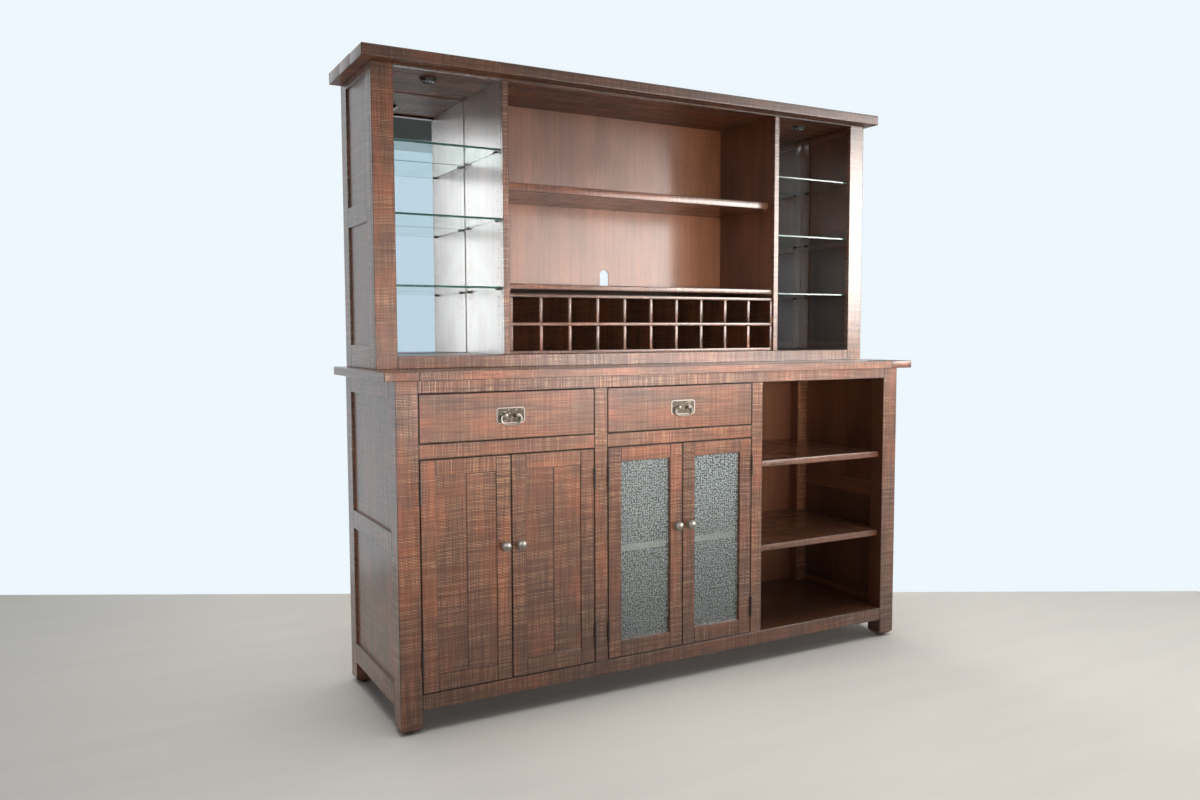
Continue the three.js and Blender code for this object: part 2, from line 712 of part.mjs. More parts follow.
const plankInfill = {
  part: "planks",
  make: plankPanel,
  finish: finishes.sawnWood,
  recess: plankPanelRecess,
  thickness: plankPanelThickness,
};
const glassInfill = {
  part: "pane",
  make: glassPane,
  finish: finishes.texturedGlass,
  recess: glassRecess,
  thickness: glassThickness,
};
const doors = [
  ["wood_door_left", -legInnerX, 1, plankInfill],
  ["wood_door_right", -sideBayEdgeX, -1, plankInfill],
  ["glass_door_left", -middleBayEdgeX, 1, glassInfill],
  ["glass_door_right", middleBayEdgeX, -1, glassInfill],
];
for (const [name, hingeX, direction, infill] of doors) {
  const knobX = hingeX + direction * (hingeGap + doorWidth - doorStileWidth / 2);
  place(`${name}_frame`, doorFrame(hingeX, direction, infill), finishes.sawnWood);
  place(`${name}_${infill.part}`, infill.make(hingeX, direction, infill), infill.finish);
  place(`${name}_knob`, knob(knobX), finishes.agedMetal);
  for (const [level, middle] of hingeMiddles) {
    place(`${name}_hinge_${level}`, cabinetLeaf(hingeX, direction, middle), finishes.blackMetal);
  }
}

// Counter: centre boards between two breadboard ends, shown by the seams
function counter() {
  const halfX = counterWidth / 2;
  const y0 = frontY - counterFrontOverhang;
  const seams = [];
  for (const seamX of [-halfX + breadboardWidth, halfX - breadboardWidth]) {
    seams.push(flatGroove(seamX, y0 - overrun, backY + overrun, counterTopHeight, seamWidth, seamDepth));
    seams.push(flatGroove(seamX, y0 - overrun, backY + overrun, counterBottom, seamWidth, seamDepth));
    seams.push(frontGroove(seamX, y0, counterBottom - overrun, counterTopHeight + overrun,
      seamWidth, seamDepth));
  }
  return cut(easedBoard(-halfX, halfX, y0, backY, counterBottom, counterTopHeight, counterEase), ...seams);
}
place("counter_top", counter(), finishes.sawnWood);

// Hutch

// Frame-and-panel end behind the face frame's post, with clips for the glass shelves
function hutchEnd(side) {
  const outer = side * hutchEndX;
  const inner = side * hutchEndInnerX;
  const y0 = hutchFrameBackY + seat;
  const y1 = hutchBackY;
  const bottom = counterTopHeight + seat;
  const top = ceiling - seat;
  const rails = [
    [bottom, counterTopHeight + hutchEndBottomRailHeight],
    [hutchEndMiddleRailBottom, hutchEndMiddleRailBottom + hutchEndMiddleRailHeight],
    [ceiling - hutchEndTopRailHeight, top],
  ];
  const panelOuter = side * (hutchEndX - hutchPanelRecess);
  const panelInner = side * (hutchEndX - hutchPanelRecess - hutchPanelThickness);
  let end = join(
    block(outer, inner, y0, y0 + hutchStileWidth, bottom, top),
    block(outer, inner, y1 - hutchRearStileWidth, y1, bottom, top),
  );
  for (const [low, high] of rails) {
    end = end.add(block(outer, inner, y0 + tenon, y1 - tenon, low, high));
  }
  for (let i = 0; i + 1 < rails.length; i += 1) {
    end = end.add(block(panelOuter, panelInner, y0 + tenon, y1 - tenon,
      rails[i][1] - tenon, rails[i + 1][0] + tenon));
  }
  const cleatTop = hutchFloorTop - hutchFloorThickness - seat;
  const floorCleat = block(inner + side * tenon, inner - side * cleatWidth, y0 + hutchStileWidth,
    y1 - hutchRearStileWidth, cleatTop - cleatHeight, cleatTop);
  return join(end, floorCleat, ...shelfClips(inner, -side));
}

// Clips that stand out of a bay wall under each glass shelf, near its front and back edges
function shelfClips(wallX, direction) {
  const clips = [];
  for (const top of glassShelfHeights) {
    const clipTop = top - glassShelfThickness - seat;
    for (const middleY of [hutchFrontY + clipFromFront, mirrorY - clipFromBack]) {
      clips.push(block(wallX - direction * tenon / 2, wallX + direction * clipReach,
        middleY - clipWidth / 2, middleY + clipWidth / 2, clipTop - clipHeight, clipTop));
    }
  }
  return clips;
}

place("hutch_end_left", hutchEnd(-1), finishes.sawnWood);
place("hutch_end_right", hutchEnd(1), finishes.sawnWood);

// The top rail between the posts, housed in a groove of the top board; margin grows it all round
function hutchTopRail(margin) {
  return block(-hutchPostInnerX - margin, hutchPostInnerX + margin, hutchFrontY - margin,
    hutchFrameBackY + margin, hutchTopRailBottom - margin, ceiling + hutchTopRailHoused + margin);
}

function hutchFaceFrame() {
  const bottom = counterTopHeight + seat;
  const post = (side) => block(side * hutchEndX, side * hutchPostInnerX, hutchFrontY, hutchFrameBackY,
    bottom, ceiling - seat);
  const railEnd = hutchPostInnerX + tenon;
  return join(
    post(-1),
    post(1),
    block(-railEnd, railEnd, hutchFrontY, hutchFrameBackY, bottom, hutchFloorTop),
    block(-railEnd, railEnd, hutchFrontY, hutchFrameBackY, hutchTopRailBottom, ceiling - seat),
    hutchTopRail(0),
  );
}
place("hutch_face_frame", hutchFaceFrame(), finishes.sawnWood);

function hutchTopBoard() {
  const halfX = hutchEndX + hutchTopSideOverhang;
  return cut(
    easedBoard(-halfX, halfX, hutchFrontY - hutchTopFrontOverhang, hutchBackY, ceiling, overallHeight,
      hutchTopEase),
    hutchTopRail(seat),
  );
}
place("hutch_top", hutchTopBoard(), finishes.sawnWood);

place("hutch_floor", block(-hutchEndInnerX + seat, hutchEndInnerX - seat, hutchFrameBackY + seat,
  hutchPanelY - seat, hutchFloorTop - hutchFloorThickness, hutchFloorTop), finishes.veneer);

// A divider stands on the floor board and is notched round the top rail
function hutchDivider(side) {
  const inner = side * dividerInnerX;
  const outer = side * dividerOuterX;
  const upright = cut(
    block(inner, outer, hutchFrontY, hutchPanelY - seat, hutchFloorTop + seat, ceiling - seat),
    hutchTopRail(seat),
  );
  const middleCleats = [middleShelfHeight - middleShelfThickness, deckHeight - deckThickness].map((bottom) =>
    block(inner + side * tenon, inner - side * cleatWidth, hutchFrontY + middleShelfSetback + cleatWidth,
      hutchPanelY - cleatWidth, bottom - seat - clipHeight, bottom - seat));
  return join(upright, ...middleCleats, ...shelfClips(outer, side));
}
place("hutch_divider_left", hutchDivider(-1), finishes.veneer);
place("hutch_divider_right", hutchDivider(1), finishes.veneer);

// Back panel with a round-topped cable hole that opens just above the deck
function hutchBackPanel() {
  const radius = cableHoleWidth / 2;
  const arch = new THREE.Shape();
  arch.moveTo(-radius, 0);
  arch.lineTo(radius, 0);
  arch.lineTo(radius, cableHoleHeight - radius);
  arch.absarc(0, cableHoleHeight - radius, radius, 0, Math.PI);
  arch.closePath();
  const hole = new THREE.ExtrudeGeometry(arch, {
    depth: backPanelThickness + overrun + overrun,
    bevelEnabled: false,
    curveSegments: 10,
  });
  hole.rotateX(Math.PI / 2);
  hole.translate(0, hutchPanelY + backPanelThickness + overrun, deckHeight);
  return cut(
    block(-hutchEndInnerX + seat, hutchEndInnerX - seat, hutchPanelY, hutchPanelY + backPanelThickness,
      counterTopHeight + seat, ceiling - seat),
    toSolid(hole),
  );
}
place("hutch_back_panel", hutchBackPanel(), finishes.veneer);

place("hutch_shelf", block(-dividerInnerX + seat, dividerInnerX - seat, hutchFrontY + middleShelfSetback,
  hutchPanelY - seat, middleShelfHeight - middleShelfThickness, middleShelfHeight), finishes.sawnWood);
place("rack_deck", block(-dividerInnerX + seat, dividerInnerX - seat, hutchFrontY + deckSetback,
  hutchPanelY - seat, deckHeight - deckThickness, deckHeight), finishes.sawnWood);

// Egg-crate wine rack: shelves and uprights halved into each other
function wineRack() {
  const half = dividerInnerX - seat;
  const y0 = hutchFrontY + rackSetback;
  const y1 = hutchPanelY - seat;
  const floor = hutchFloorTop + seat;
  const columnPitch = (half + half - rackBoardThickness) / rackColumns;
  const rowPitch = (rackHeight - rackBoardThickness) / rackRows;
  const boards = [];
  for (let row = 0; row <= rackRows; row += 1) {
    const z0 = floor + row * rowPitch;
    boards.push(block(-half, half, y0, y1, z0, z0 + rackBoardThickness));
  }
  for (let column = 0; column <= rackColumns; column += 1) {
    const x0 = -half + column * columnPitch;
    boards.push(block(x0, x0 + rackBoardThickness, y0, y1, floor, floor + rackHeight));
  }
  return join(...boards);
}
place("wine_rack", wineRack(), finishes.sawnWood);

// Mirrored side bays with their glass shelves and lights
const puckX = (dividerOuterX + hutchEndInnerX) / 2;
const levelNames = ["upper", "middle", "lower"];
for (const [sideName, side] of [["left", -1], ["right", 1]]) {
  const wallX = side * (dividerOuterX + seat);
  place(`mirror_${sideName}`, block(wallX, side * (hutchEndInnerX - seat), mirrorY,
    mirrorY + mirrorThickness, hutchFloorTop + seat, ceiling - seat), finishes.mirror);
  levelNames.forEach((level, i) => {
    const top = glassShelfHeights[i];
    place(`glass_shelf_${sideName}_${level}`, block(side * (dividerOuterX + glassShelfEndGap),
      side * (hutchEndInnerX - glassShelfEndGap), hutchFrameBackY + seat, mirrorY - glassShelfEndGap,
      top - glassShelfThickness, top), finishes.clearGlass);
  });
  const puck = join(
    rodAlongZ(puckRadius, side * puckX, hutchFrontY + puckFromFront, ceiling - seat - puckStep,
      ceiling - seat, 24),
    rodAlongZ(puckRimRadius, side * puckX, hutchFrontY + puckFromFront, ceiling - seat - puckHeight,
      ceiling - seat - puckStep / 2, 24),
  );
  place(`puck_light_${sideName}`, puck, finishes.blackMetal);
}

export default furniture;
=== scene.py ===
import bpy, bmesh, math, random
from mathutils import Matrix, Vector
from mathutils.geometry import tessellate_polygon


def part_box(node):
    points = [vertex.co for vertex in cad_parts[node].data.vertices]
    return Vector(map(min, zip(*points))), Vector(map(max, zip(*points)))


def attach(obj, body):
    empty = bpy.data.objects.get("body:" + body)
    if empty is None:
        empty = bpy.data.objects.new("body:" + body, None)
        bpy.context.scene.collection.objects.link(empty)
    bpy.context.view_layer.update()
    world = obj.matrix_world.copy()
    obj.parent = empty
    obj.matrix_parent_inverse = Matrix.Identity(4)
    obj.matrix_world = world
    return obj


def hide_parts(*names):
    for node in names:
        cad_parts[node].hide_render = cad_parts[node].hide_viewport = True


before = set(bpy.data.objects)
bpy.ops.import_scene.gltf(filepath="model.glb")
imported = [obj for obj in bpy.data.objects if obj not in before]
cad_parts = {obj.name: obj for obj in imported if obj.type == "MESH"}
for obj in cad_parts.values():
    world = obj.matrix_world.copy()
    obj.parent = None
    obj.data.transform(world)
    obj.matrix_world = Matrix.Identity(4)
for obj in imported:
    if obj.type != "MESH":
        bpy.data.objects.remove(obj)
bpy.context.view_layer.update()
print("frame loaded:", len(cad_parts), "nodes")

dice = random.Random(11)
scene = bpy.context.scene
sides = ((-1, "left"), (1, "right"))


# Small tools

# A dictionary whose values can also be read with a dot
class Values(dict):
    __getattr__ = dict.__getitem__


def nodeBox(name):
    low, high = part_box(name)
    return low.x, high.x, low.y, high.y, low.z, high.z


def tint(red, green, blue):
    return tuple((c / 255 / 12.92) if c <= 10 else ((c / 255 + 0.055) / 1.055) ** 2.4 for c in (red, green, blue))


def link(name, data):
    made = bpy.data.objects.new(name, data)
    scene.collection.objects.link(made)
    return made


# Adds nodes to a tree. An input is a socket to link from, or a value to set.
class Graph:
    def __init__(self, tree):
        self.tree = tree

    def fill(self, node, inputs):
        for key, value in inputs.items():
            socket = node.inputs[key]
            if isinstance(value, bpy.types.NodeSocket):
                self.tree.links.new(value, socket)
            else:
                socket.default_value = (*value, 1.0) if socket.type == "RGBA" else value

    def add(self, kind, inputs=(), **settings):
        made = self.tree.nodes.new("ShaderNode" + kind)
        for key, value in settings.items():
            setattr(made, key, value)
        self.fill(made, dict(inputs))
        return made.outputs

    def maths(self, operation, *inputs):
        return self.add("Math", enumerate(inputs), operation=operation)[0]

    def vector(self, operation, *inputs):
        return self.add("VectorMath", enumerate(inputs), operation=operation)[0]

    def times(self, first, second):
        return self.maths("MULTIPLY", first, second)

    def plus(self, first, second):
        return self.maths("ADD", first, second)

    def minus(self, first, second):
        return self.maths("SUBTRACT", first, second)

    def split(self, vector):
        return self.add("SeparateXYZ", {0: vector})

    def join(self, *parts):
        return self.add("CombineXYZ", enumerate(parts))[0]

    def span(self, value, low, high, to0=0.0, to1=1.0):
        ends = {"From Min": low, "From Max": high, "To Min": to0, "To Max": to1}
        return self.add("MapRange", {"Value": value, **ends}, interpolation_type="SMOOTHSTEP")["Result"]

    def noise(self, vector, scale, detail=2.0, rough=0.5, distortion=0.0):
        return self.add("TexNoise", {"Vector": vector, "Scale": scale, "Detail": detail, "Roughness": rough,
                                     "Distortion": distortion})["Fac"]

    def stretch(self, vector, along, across):
        return self.vector("MULTIPLY", vector, (along, across, across))

    def mix(self, share, first, second):
        return self.add("Mix", {0: share, 6: first, 7: second}, data_type="RGBA")[2]

    def layers(self, colour, *coats):
        for share, coat in coats:
            colour = self.mix(share, colour, coat)
        return colour

    def bump(self, height, distance, strength):
        return self.add("Bump", {"Height": height, "Distance": distance, "Strength": strength})[0]

    def use(self, group, inputs):
        return self.add("Group", inputs, node_tree=group)

    def mixShaders(self, share, first, second):
        return self.add("MixShader", {0: share, 1: first, 2: second})[0]

    # 1 for the rays that see the background: straight, in a reflection or through glass
    def seen(self):
        path = self.add("LightPath")
        straight = self.maths("MAXIMUM", path["Is Camera Ray"], path["Is Glossy Ray"])
        return self.maths("MAXIMUM", straight, path["Is Transmission Ray"])


# A node group. An input without a value is a vector.
class Group(Graph):
    def __init__(self, name, inputs):
        super().__init__(bpy.data.node_groups.new(name, "ShaderNodeTree"))
        for key, value in inputs.items():
            made = self.tree.interface.new_socket(key, in_out="INPUT",
                                                  socket_type=f"NodeSocket{'Vector' if value is None else 'Float'}")
            if value is not None:
                made.default_value = value
        self.entry = self.tree.nodes.new("NodeGroupInput").outputs

    def close(self, outputs):
        for key in outputs:
            self.tree.interface.new_socket(key, in_out="OUTPUT",
                                           socket_type=f"NodeSocket{'Vector' if key == 'Vector' else 'Float'}")
        self.fill(self.tree.nodes.new("NodeGroupOutput"), outputs)
        return self.tree


class Material(Graph):
    def __init__(self, name):
        self.material = bpy.data.materials.new(name)
        self.material.use_nodes = True
        super().__init__(self.material.node_tree)
        self.tree.nodes.clear()
        self.exit = self.tree.nodes.new("ShaderNodeOutputMaterial")
        self.shader = self.tree.nodes.new("ShaderNodeBsdfPrincipled")
        self.show(self.shader.outputs[0])

    def show(self, surface):
        self.fill(self.exit, {"Surface": surface})

    def shade(self, inputs):
        self.fill(self.shader, inputs)
        return self.material

    def spot(self):
        return self.add("TexCoord")["Object"]

    # Where a point lies on its board, the board's half size and tone, and the vector for its grain
    def board(self):
        point, half = (self.add("Attribute", attribute_name=name)["Vector"] for name in ("boardPoint", "boardHalf"))
        tone = self.add("Attribute", attribute_name="boardTone")["Fac"]
        return point, half, tone, self.use(boardSpace, {"Board point": point, "Tone": tone})["Vector"]

    # What the background colour covers, where it is seen, instead of the shader
    def covered(self, colour, where=None):
        seen = self.seen()
        share = seen if where is None else self.times(seen, where)
        glow = self.add("Emission", {"Color": colour, "Strength": 1.0})[0]
        return self.mixShaders(share, self.shader.outputs[0], glow)


# Shader groups shared by the finishes. From here on, g is the graph of the group or material being made.

# Where a point lies on its own board: shifted by the board's own tone, so that no two boards match
g = Group("Board space", {"Board point": None, "Tone": 0.5})
shift = g.join(*(g.times(g.entry["Tone"], far) for far in (37.0, 11.3, 5.7)))
boardSpace = g.close({"Vector": g.vector("ADD", g.entry["Board point"], shift)})

# Lines that the mill's saw leaves right across a board, of uneven strength. Besides their height for the bump, they
# give masks where the ridges get a painted highlight and the grooves painted shade.
g = Group("Saw marks", {"Vector": None, "Lines per metre": 210.0, "Wander": 1.0})
vector = g.entry["Vector"]
along, across, deep = g.split(vector)
bow = g.times(g.minus(g.noise(g.stretch(vector, 4.0, 5.0), 1.0, 1.0), 0.5), 0.012)
turns = g.times(g.plus(along, g.times(bow, g.entry["Wander"])), g.entry["Lines per metre"])
wave = g.maths("SINE", g.times(turns, 2 * math.pi))
comb = g.join(turns, g.times(across, 5.0), g.times(deep, 5.0))
own, rough = g.noise(comb, 0.36, 2.0, 0.6), g.noise(comb, 0.9, 3.0, 0.7)
bite = g.span(g.noise(g.stretch(vector, 5.0, 9.0), 1.0, 2.0), 0.3, 0.62, 0.5, 1.0)
even = g.times(g.times(wave, 0.4), g.times(g.span(own, 0.34, 0.66, 0.1, 1.0), bite))
uneven = g.times(g.times(g.minus(rough, 0.5), 1.1), bite)
swing = g.plus(even, uneven)
sawMarks = g.close({"Height": swing, "Ridge": g.span(swing, 0.02, 0.36), "Groove shade": g.span(swing, -0.02, -0.34)})

# Long streaks of grain, with pores
g = Group("Wood grain", {"Vector": None, "Coarseness": 1.0})
vector = g.add("VectorMath", {0: g.entry["Vector"], "Scale": g.entry["Coarseness"]}, operation="SCALE")[0]
streak, figure, thread, pores = (
    g.noise(g.stretch(vector, along, across), 1.0, *settings) for along, across, *settings in (
        (2.6, 120.0, 3.0, 0.6), (1.3, 17.0, 2.0, 0.5, 0.6), (7.0, 250.0, 2.0, 0.6), (45.0, 900.0, 1.0, 0.5)))
woodGrain = g.close({"Streak": streak, "Figure": figure, "Thread": thread, "Pores": g.span(pores, 0.6, 0.72)})

# Rubbed corners: how far a point is from its board's nearest edge decides how bare it is. Within about two millimetres
# of an edge it also gives painted shade, for the gaps between boards.
g = Group("Edge wear and gap shade", {"Board point": None, "Half size": None, "Vector": None, "Reach": 0.003})
x, y, z = g.split(g.vector("SUBTRACT", g.entry["Half size"], g.vector("ABSOLUTE", g.entry["Board point"])))
least, most = (g.maths(which, g.maths(which, x, y), z) for which in ("MINIMUM", "MAXIMUM"))
edge = g.minus(g.minus(g.plus(g.plus(x, y), z), least), most)
ragged, broad = g.noise(g.entry["Vector"], 85.0, 3.0, 0.6), g.noise(g.entry["Vector"], 9.0, 1.0)
pull = g.minus(g.plus(g.times(ragged, 2.1), g.times(broad, 1.9)), 1.35)
bare = g.minus(pull, g.maths("DIVIDE", edge, g.entry["Reach"]))
edgeWearAndGapShade = g.close({"Wear": g.span(bare, 0.0, 0.7), "Seam": g.span(edge, 0.0024, 0.0011)})

# Fine dust and finger smears in a smooth finish
g = Group("Smears", {"Vector": None, "Scale": 6.0})
cloud = g.noise(g.entry["Vector"], g.entry["Scale"], 4.0, 0.5, 0.8)
dust = g.noise(g.entry["Vector"], 420.0, 1.0)
smears = g.close({"Smear": g.span(cloud, 0.35, 0.75), "Specks": g.span(dust, 0.68, 0.78)})
print("shader groups ready")


# Finishes

# Wood under its clear coat
def lacquer(g, finish, colour, roughness, normal):
    return g.shade({"Base Color": colour, "Roughness": roughness, "Normal": normal,
                    "Specular IOR Level": finish.sheen, "Coat Weight": finish.coat,
                    "Coat Roughness": finish.coatRoughness})


# In this finish the saw marks' grooves are painted darker as shade, their ridges take the bare colour as a painted
# highlight, and board edges are painted darker as shade in the gaps between boards.
sawnFinish = Values(
    deep=tint(44, 26, 18), body=tint(118, 76, 53), warm=tint(150, 86, 54), bare=tint(212, 160, 118),
    linesPerMetre=215.0, wideMarks=0.5, wearReach=0.0026, roughness=(0.5, 0.65), sheen=0.12, coat=1.0,
    coatRoughness=0.24, markDepth=0.002, figure=0.26, thread=0.36, tone=0.34, groove=0.68, ridge=0.78, wear=0.5,
    seam=0.95, pores=0.4)


def makeSawnWood(name, finish):
    g = Material(name)
    point, half, tone, vector = g.board()
    grain = g.use(woodGrain, {"Vector": vector, "Coarseness": 1.0})
    marks = g.use(sawMarks, {"Vector": vector, "Lines per metre": finish.linesPerMetre, "Wander": 1.0})
    wear = g.use(edgeWearAndGapShade, {"Board point": point, "Half size": half, "Vector": vector, "Reach": finish.wearReach})
    size = g.split(half)
    # Narrow boards are the roughest: on them the painted highlight and shade of the saw marks are strongest.
    bite = g.span(g.maths("MAXIMUM", size[1], size[2]), 0.072, 0.038, finish.wideMarks, 1.0)
    weave = g.span(grain["Thread"], 0.4, 0.62, 0.3, 1.0)
    patch = g.span(g.noise(g.stretch(vector, 4.5, 12.0), 1.0, 2.0), 0.38, 0.68)
    colour = g.layers(
        g.mix(patch, finish.body, finish.warm),
        (g.span(grain["Figure"], 0.55, 0.3, 0.0, finish.figure), finish.deep),
        (g.span(grain["Thread"], 0.56, 0.34, 0.0, finish.thread), finish.deep),
        (g.times(tone, finish.tone), finish.deep),
        # The grooves are painted darker as shade, and the ridges take the bare colour as a painted highlight
        (g.times(marks["Groove shade"], g.times(bite, finish.groove)), finish.deep),
        (g.times(g.times(marks["Ridge"], weave), g.times(bite, finish.ridge)), finish.bare),
        (g.times(wear["Wear"], finish.wear), finish.bare),
        # Every board edge is painted darker: painted shade in the gaps between boards
        (g.times(wear["Seam"], finish.seam), finish.deep),
        (g.times(grain["Pores"], finish.pores), finish.deep))
    height = g.plus(marks["Height"], g.times(grain["Thread"], 0.5))
    roughness = g.span(grain["Thread"], 0.3, 0.75, *reversed(finish.roughness))
    return lacquer(g, finish, colour, roughness, g.bump(height, finish.markDepth, 0.8))


veneerFinish = Values(
    deep=tint(54, 31, 21), body=tint(120, 72, 45), warm=tint(146, 90, 58), roughness=(0.42, 0.52), sheen=0.25,
    coat=0.7, coatRoughness=0.22, figure=0.16, streak=0.16, tone=0.75, pores=0.4)


def makeVeneer(name, finish):
    g = Material(name)
    tone, vector = g.board()[2:]
    grain = g.use(woodGrain, {"Vector": vector, "Coarseness": 0.7})
    haze = g.use(smears, {"Vector": vector, "Scale": 5.0})
    blotch = g.span(g.noise(g.stretch(vector, 2.0, 5.0), 1.0, 3.0), 0.3, 0.7)
    colour = g.layers(
        g.mix(blotch, finish.body, finish.warm),
        (g.span(grain["Figure"], 0.6, 0.3, 0.0, finish.figure), finish.deep),
        (g.span(grain["Streak"], 0.6, 0.3, 0.0, finish.streak), finish.deep),
        (g.times(tone, finish.tone), finish.deep),
        (g.times(grain["Pores"], finish.pores), finish.deep))
    roughness = g.span(haze["Smear"], 0.0, 1.0, *finish.roughness)
    return lacquer(g, finish, colour, roughness, g.bump(grain["Streak"], 0.0004, 0.5))


def makePlainWood(name, pale, dark, roughness):
    g = Material(name)
    tone, vector = g.board()[2:]
    grain = g.use(woodGrain, {"Vector": vector, "Coarseness": 0.8})
    colour = g.layers(g.mix(g.span(grain["Figure"], 0.3, 0.7), pale, dark),
                      (g.span(grain["Streak"], 0.6, 0.34, 0.0, 0.5), dark), (g.times(tone, 0.3), dark))
    return g.shade({"Base Color": colour, "Roughness": g.span(grain["Streak"], 0.3, 0.7, *roughness),
                    "Normal": g.bump(grain["Streak"], 0.0005, 0.6)})


sawnWood = makeSawnWood("rough sawn wood", sawnFinish)
# A shaded copy of the sawn finish, with less coat and sheen, for faces that look down. It reflects less, as painted
# shade under the hutch top.
undersideShadeWood = makeSawnWood("low-gloss sawn wood as painted shade", Values(sawnFinish, coat=0.22, sheen=0.08))
veneer = makeVeneer("smooth veneer", veneerFinish)
plainWood = makePlainWood("drawer wood", tint(176, 138, 98), tint(128, 92, 60), (0.45, 0.62))
paleEdging = makePlainWood("pale shelf edging", tint(226, 219, 207), tint(204, 192, 174), (0.4, 0.55))
# The walls of the shelf-pin holes take a near-black wood: painted shade inside the holes.
boreShadeWood = makePlainWood("pin holes painted dark as shade", tint(34, 25, 20), tint(20, 15, 12), (0.7, 0.9))


def makeAgedMetal(name, dark, light, roughness):
    g = Material(name)
    spot = g.spot()
    patina, dimples = g.noise(spot, 160.0, 4.0, 0.6), g.noise(spot, 520.0, 2.0, 0.5)
    corners = g.span(g.add("NewGeometry")["Pointiness"], 0.49, 0.56)
    rub = g.maths("MAXIMUM", corners, g.span(patina, 0.5, 0.72, 0.0, 0.7))
    return g.shade({"Base Color": g.mix(rub, dark, light), "Metallic": 1.0, "Normal": g.bump(dimples, 0.0005, 0.6),
                    "Roughness": g.span(patina, 0.3, 0.7, *reversed(roughness))})


def makeBlackMetal(name, body, rub, roughness):
    g = Material(name)
    patina = g.noise(g.spot(), 210.0, 3.0, 0.6)
    return g.shade({"Base Color": g.mix(g.span(patina, 0.55, 0.75, 0.0, 0.6), body, rub), "Metallic": 0.7,
                    "Roughness": g.span(patina, 0.3, 0.7, *reversed(roughness)),
                    "Normal": g.bump(patina, 0.0003, 0.5)})


agedMetal = makeAgedMetal("antique pewter", tint(82, 75, 70), tint(178, 170, 160), (0.28, 0.46))
darkMetal = makeAgedMetal("darkened pewter", tint(78, 70, 62), tint(166, 155, 141), (0.36, 0.55))
blackMetal = makeBlackMetal("black metal", tint(62, 55, 51), tint(128, 116, 106), (0.34, 0.55))

glassFinish = Values(face=tint(236, 248, 243), hazed=tint(222, 240, 234), edge=tint(84, 132, 116),
                     edgeDark=tint(28, 64, 54), index=1.46)

g = Material("shelf glass")
haze = g.use(smears, {"Vector": g.spot(), "Scale": 7.0})["Smear"]
shelfGlass = g.shade({"Base Color": g.mix(haze, glassFinish.face, glassFinish.hazed), "Transmission Weight": 1.0,
                      "Roughness": g.span(haze, 0.0, 1.0, 0.0, 0.035), "IOR": glassFinish.index})

g = Material("shelf glass edge")
ripple = g.noise(g.vector("MULTIPLY", g.spot(), (30.0, 30.0, 240.0)), 1.0, 2.0)
shelfGlassEdge = g.shade({"Base Color": g.mix(ripple, glassFinish.edgeDark, glassFinish.edge),
                          "Transmission Weight": 0.35, "Roughness": g.span(ripple, 0.2, 0.8, 0.06, 0.2),
                          "IOR": glassFinish.index})


def makePatternGlass(name, dark, pale, roughness, clear):
    g = Material(name)
    spot = g.spot()
    ripple = g.noise(spot, 170.0, 2.0)
    return g.shade({"Base Color": g.mix(g.noise(spot, 14.0, 3.0), dark, pale), "Transmission Weight": clear,
                    "Roughness": g.span(ripple, 0.3, 0.7, *roughness), "IOR": glassFinish.index,
                    "Normal": g.bump(ripple, 0.0006, 0.5)})


patternGlass = makePatternGlass("patterned door glass", tint(166, 174, 173), tint(190, 198, 196), (0.07, 0.14), 0.86)
# The cast ridges take a paler, less clear glass than the pane: painted glints on the worms.
ridgeGlintGlass = makePatternGlass("cast glass ridges painted pale as glints", tint(172, 180, 179), tint(198, 205, 203), (0.14, 0.26), 0.55)


def makeMirror(name, silver, worn):
    g = Material(name)
    haze = g.use(smears, {"Vector": g.spot(), "Scale": 4.0})
    return g.shade({"Base Color": g.mix(g.times(haze["Specks"], 0.4), silver, worn), "Metallic": 1.0,
                    "Roughness": g.span(haze["Smear"], 0.0, 1.0, 0.008, 0.03)})


silvered = makeMirror("silvered mirror", tint(240, 244, 246), tint(190, 200, 204))
mirrorRim = makeMirror("bare mirror rim", tint(72, 72, 70), tint(40, 41, 40))

g = Material("dark plastic")
grit = g.noise(g.spot(), 300.0, 3.0)
darkPlastic = g.shade({"Base Color": g.mix(grit, tint(26, 24, 22), tint(52, 47, 43)),
                       "Roughness": g.span(grit, 0.3, 0.7, 0.5, 0.75)})

g = Material("bright reflector")
facets = g.add("TexVoronoi", {"Vector": g.spot(), "Scale": 210.0})["Distance"]
reflector = g.shade({"Base Color": g.mix(facets, tint(232, 234, 236), tint(168, 172, 176)), "Metallic": 1.0,
                     "Roughness": g.span(facets, 0.0, 1.0, 0.06, 0.2), "Normal": g.bump(facets, 0.002, 0.8)})
print("finishes ready")


# Meshes and boards

def meshData(mesh, name):
    data = bpy.data.meshes.new(name)
    mesh.to_mesh(data)
    mesh.free()
    return data


def dress(data, name, materials, body, nodes=()):
    piece = link(name, data)
    for material in materials:
        data.materials.append(material)
    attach(piece, body)
    if nodes:
        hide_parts(*nodes)
    return piece


def easeEdges(mesh, width, steps=2):
    if width > 0:
        bmesh.ops.bevel(mesh, geom=list(mesh.edges), offset=width, segments=steps, profile=0.55,
                        affect="EDGES", clamp_overlap=True)


# A block between x0 and x1, y0 and y1, z0 and z1
def addCube(mesh, box):
    size = Vector([abs(box[i + 1] - box[i]) for i in (0, 2, 4)])
    middle = Vector([(box[i] + box[i + 1]) / 2 for i in (0, 2, 4)])
    verts = bmesh.ops.create_cube(mesh, size=1.0)["verts"]
    for vert in verts:
        vert.co = Vector([vert.co[i] * size[i] for i in range(3)]) + middle
    return verts, size


# Gives a flat outline its thickness, up to the place far on an axis
def thicken(mesh, axis, far):
    for item in bmesh.ops.extrude_face_region(mesh, geom=list(mesh.faces))["geom"]:
        if isinstance(item, bmesh.types.BMVert):
            item.co[axis] = far
    bmesh.ops.recalc_face_normals(mesh, faces=mesh.faces)


pinHole = Values(radius=0.0026, depth=0.009, pitch=0.032, overrun=0.001)


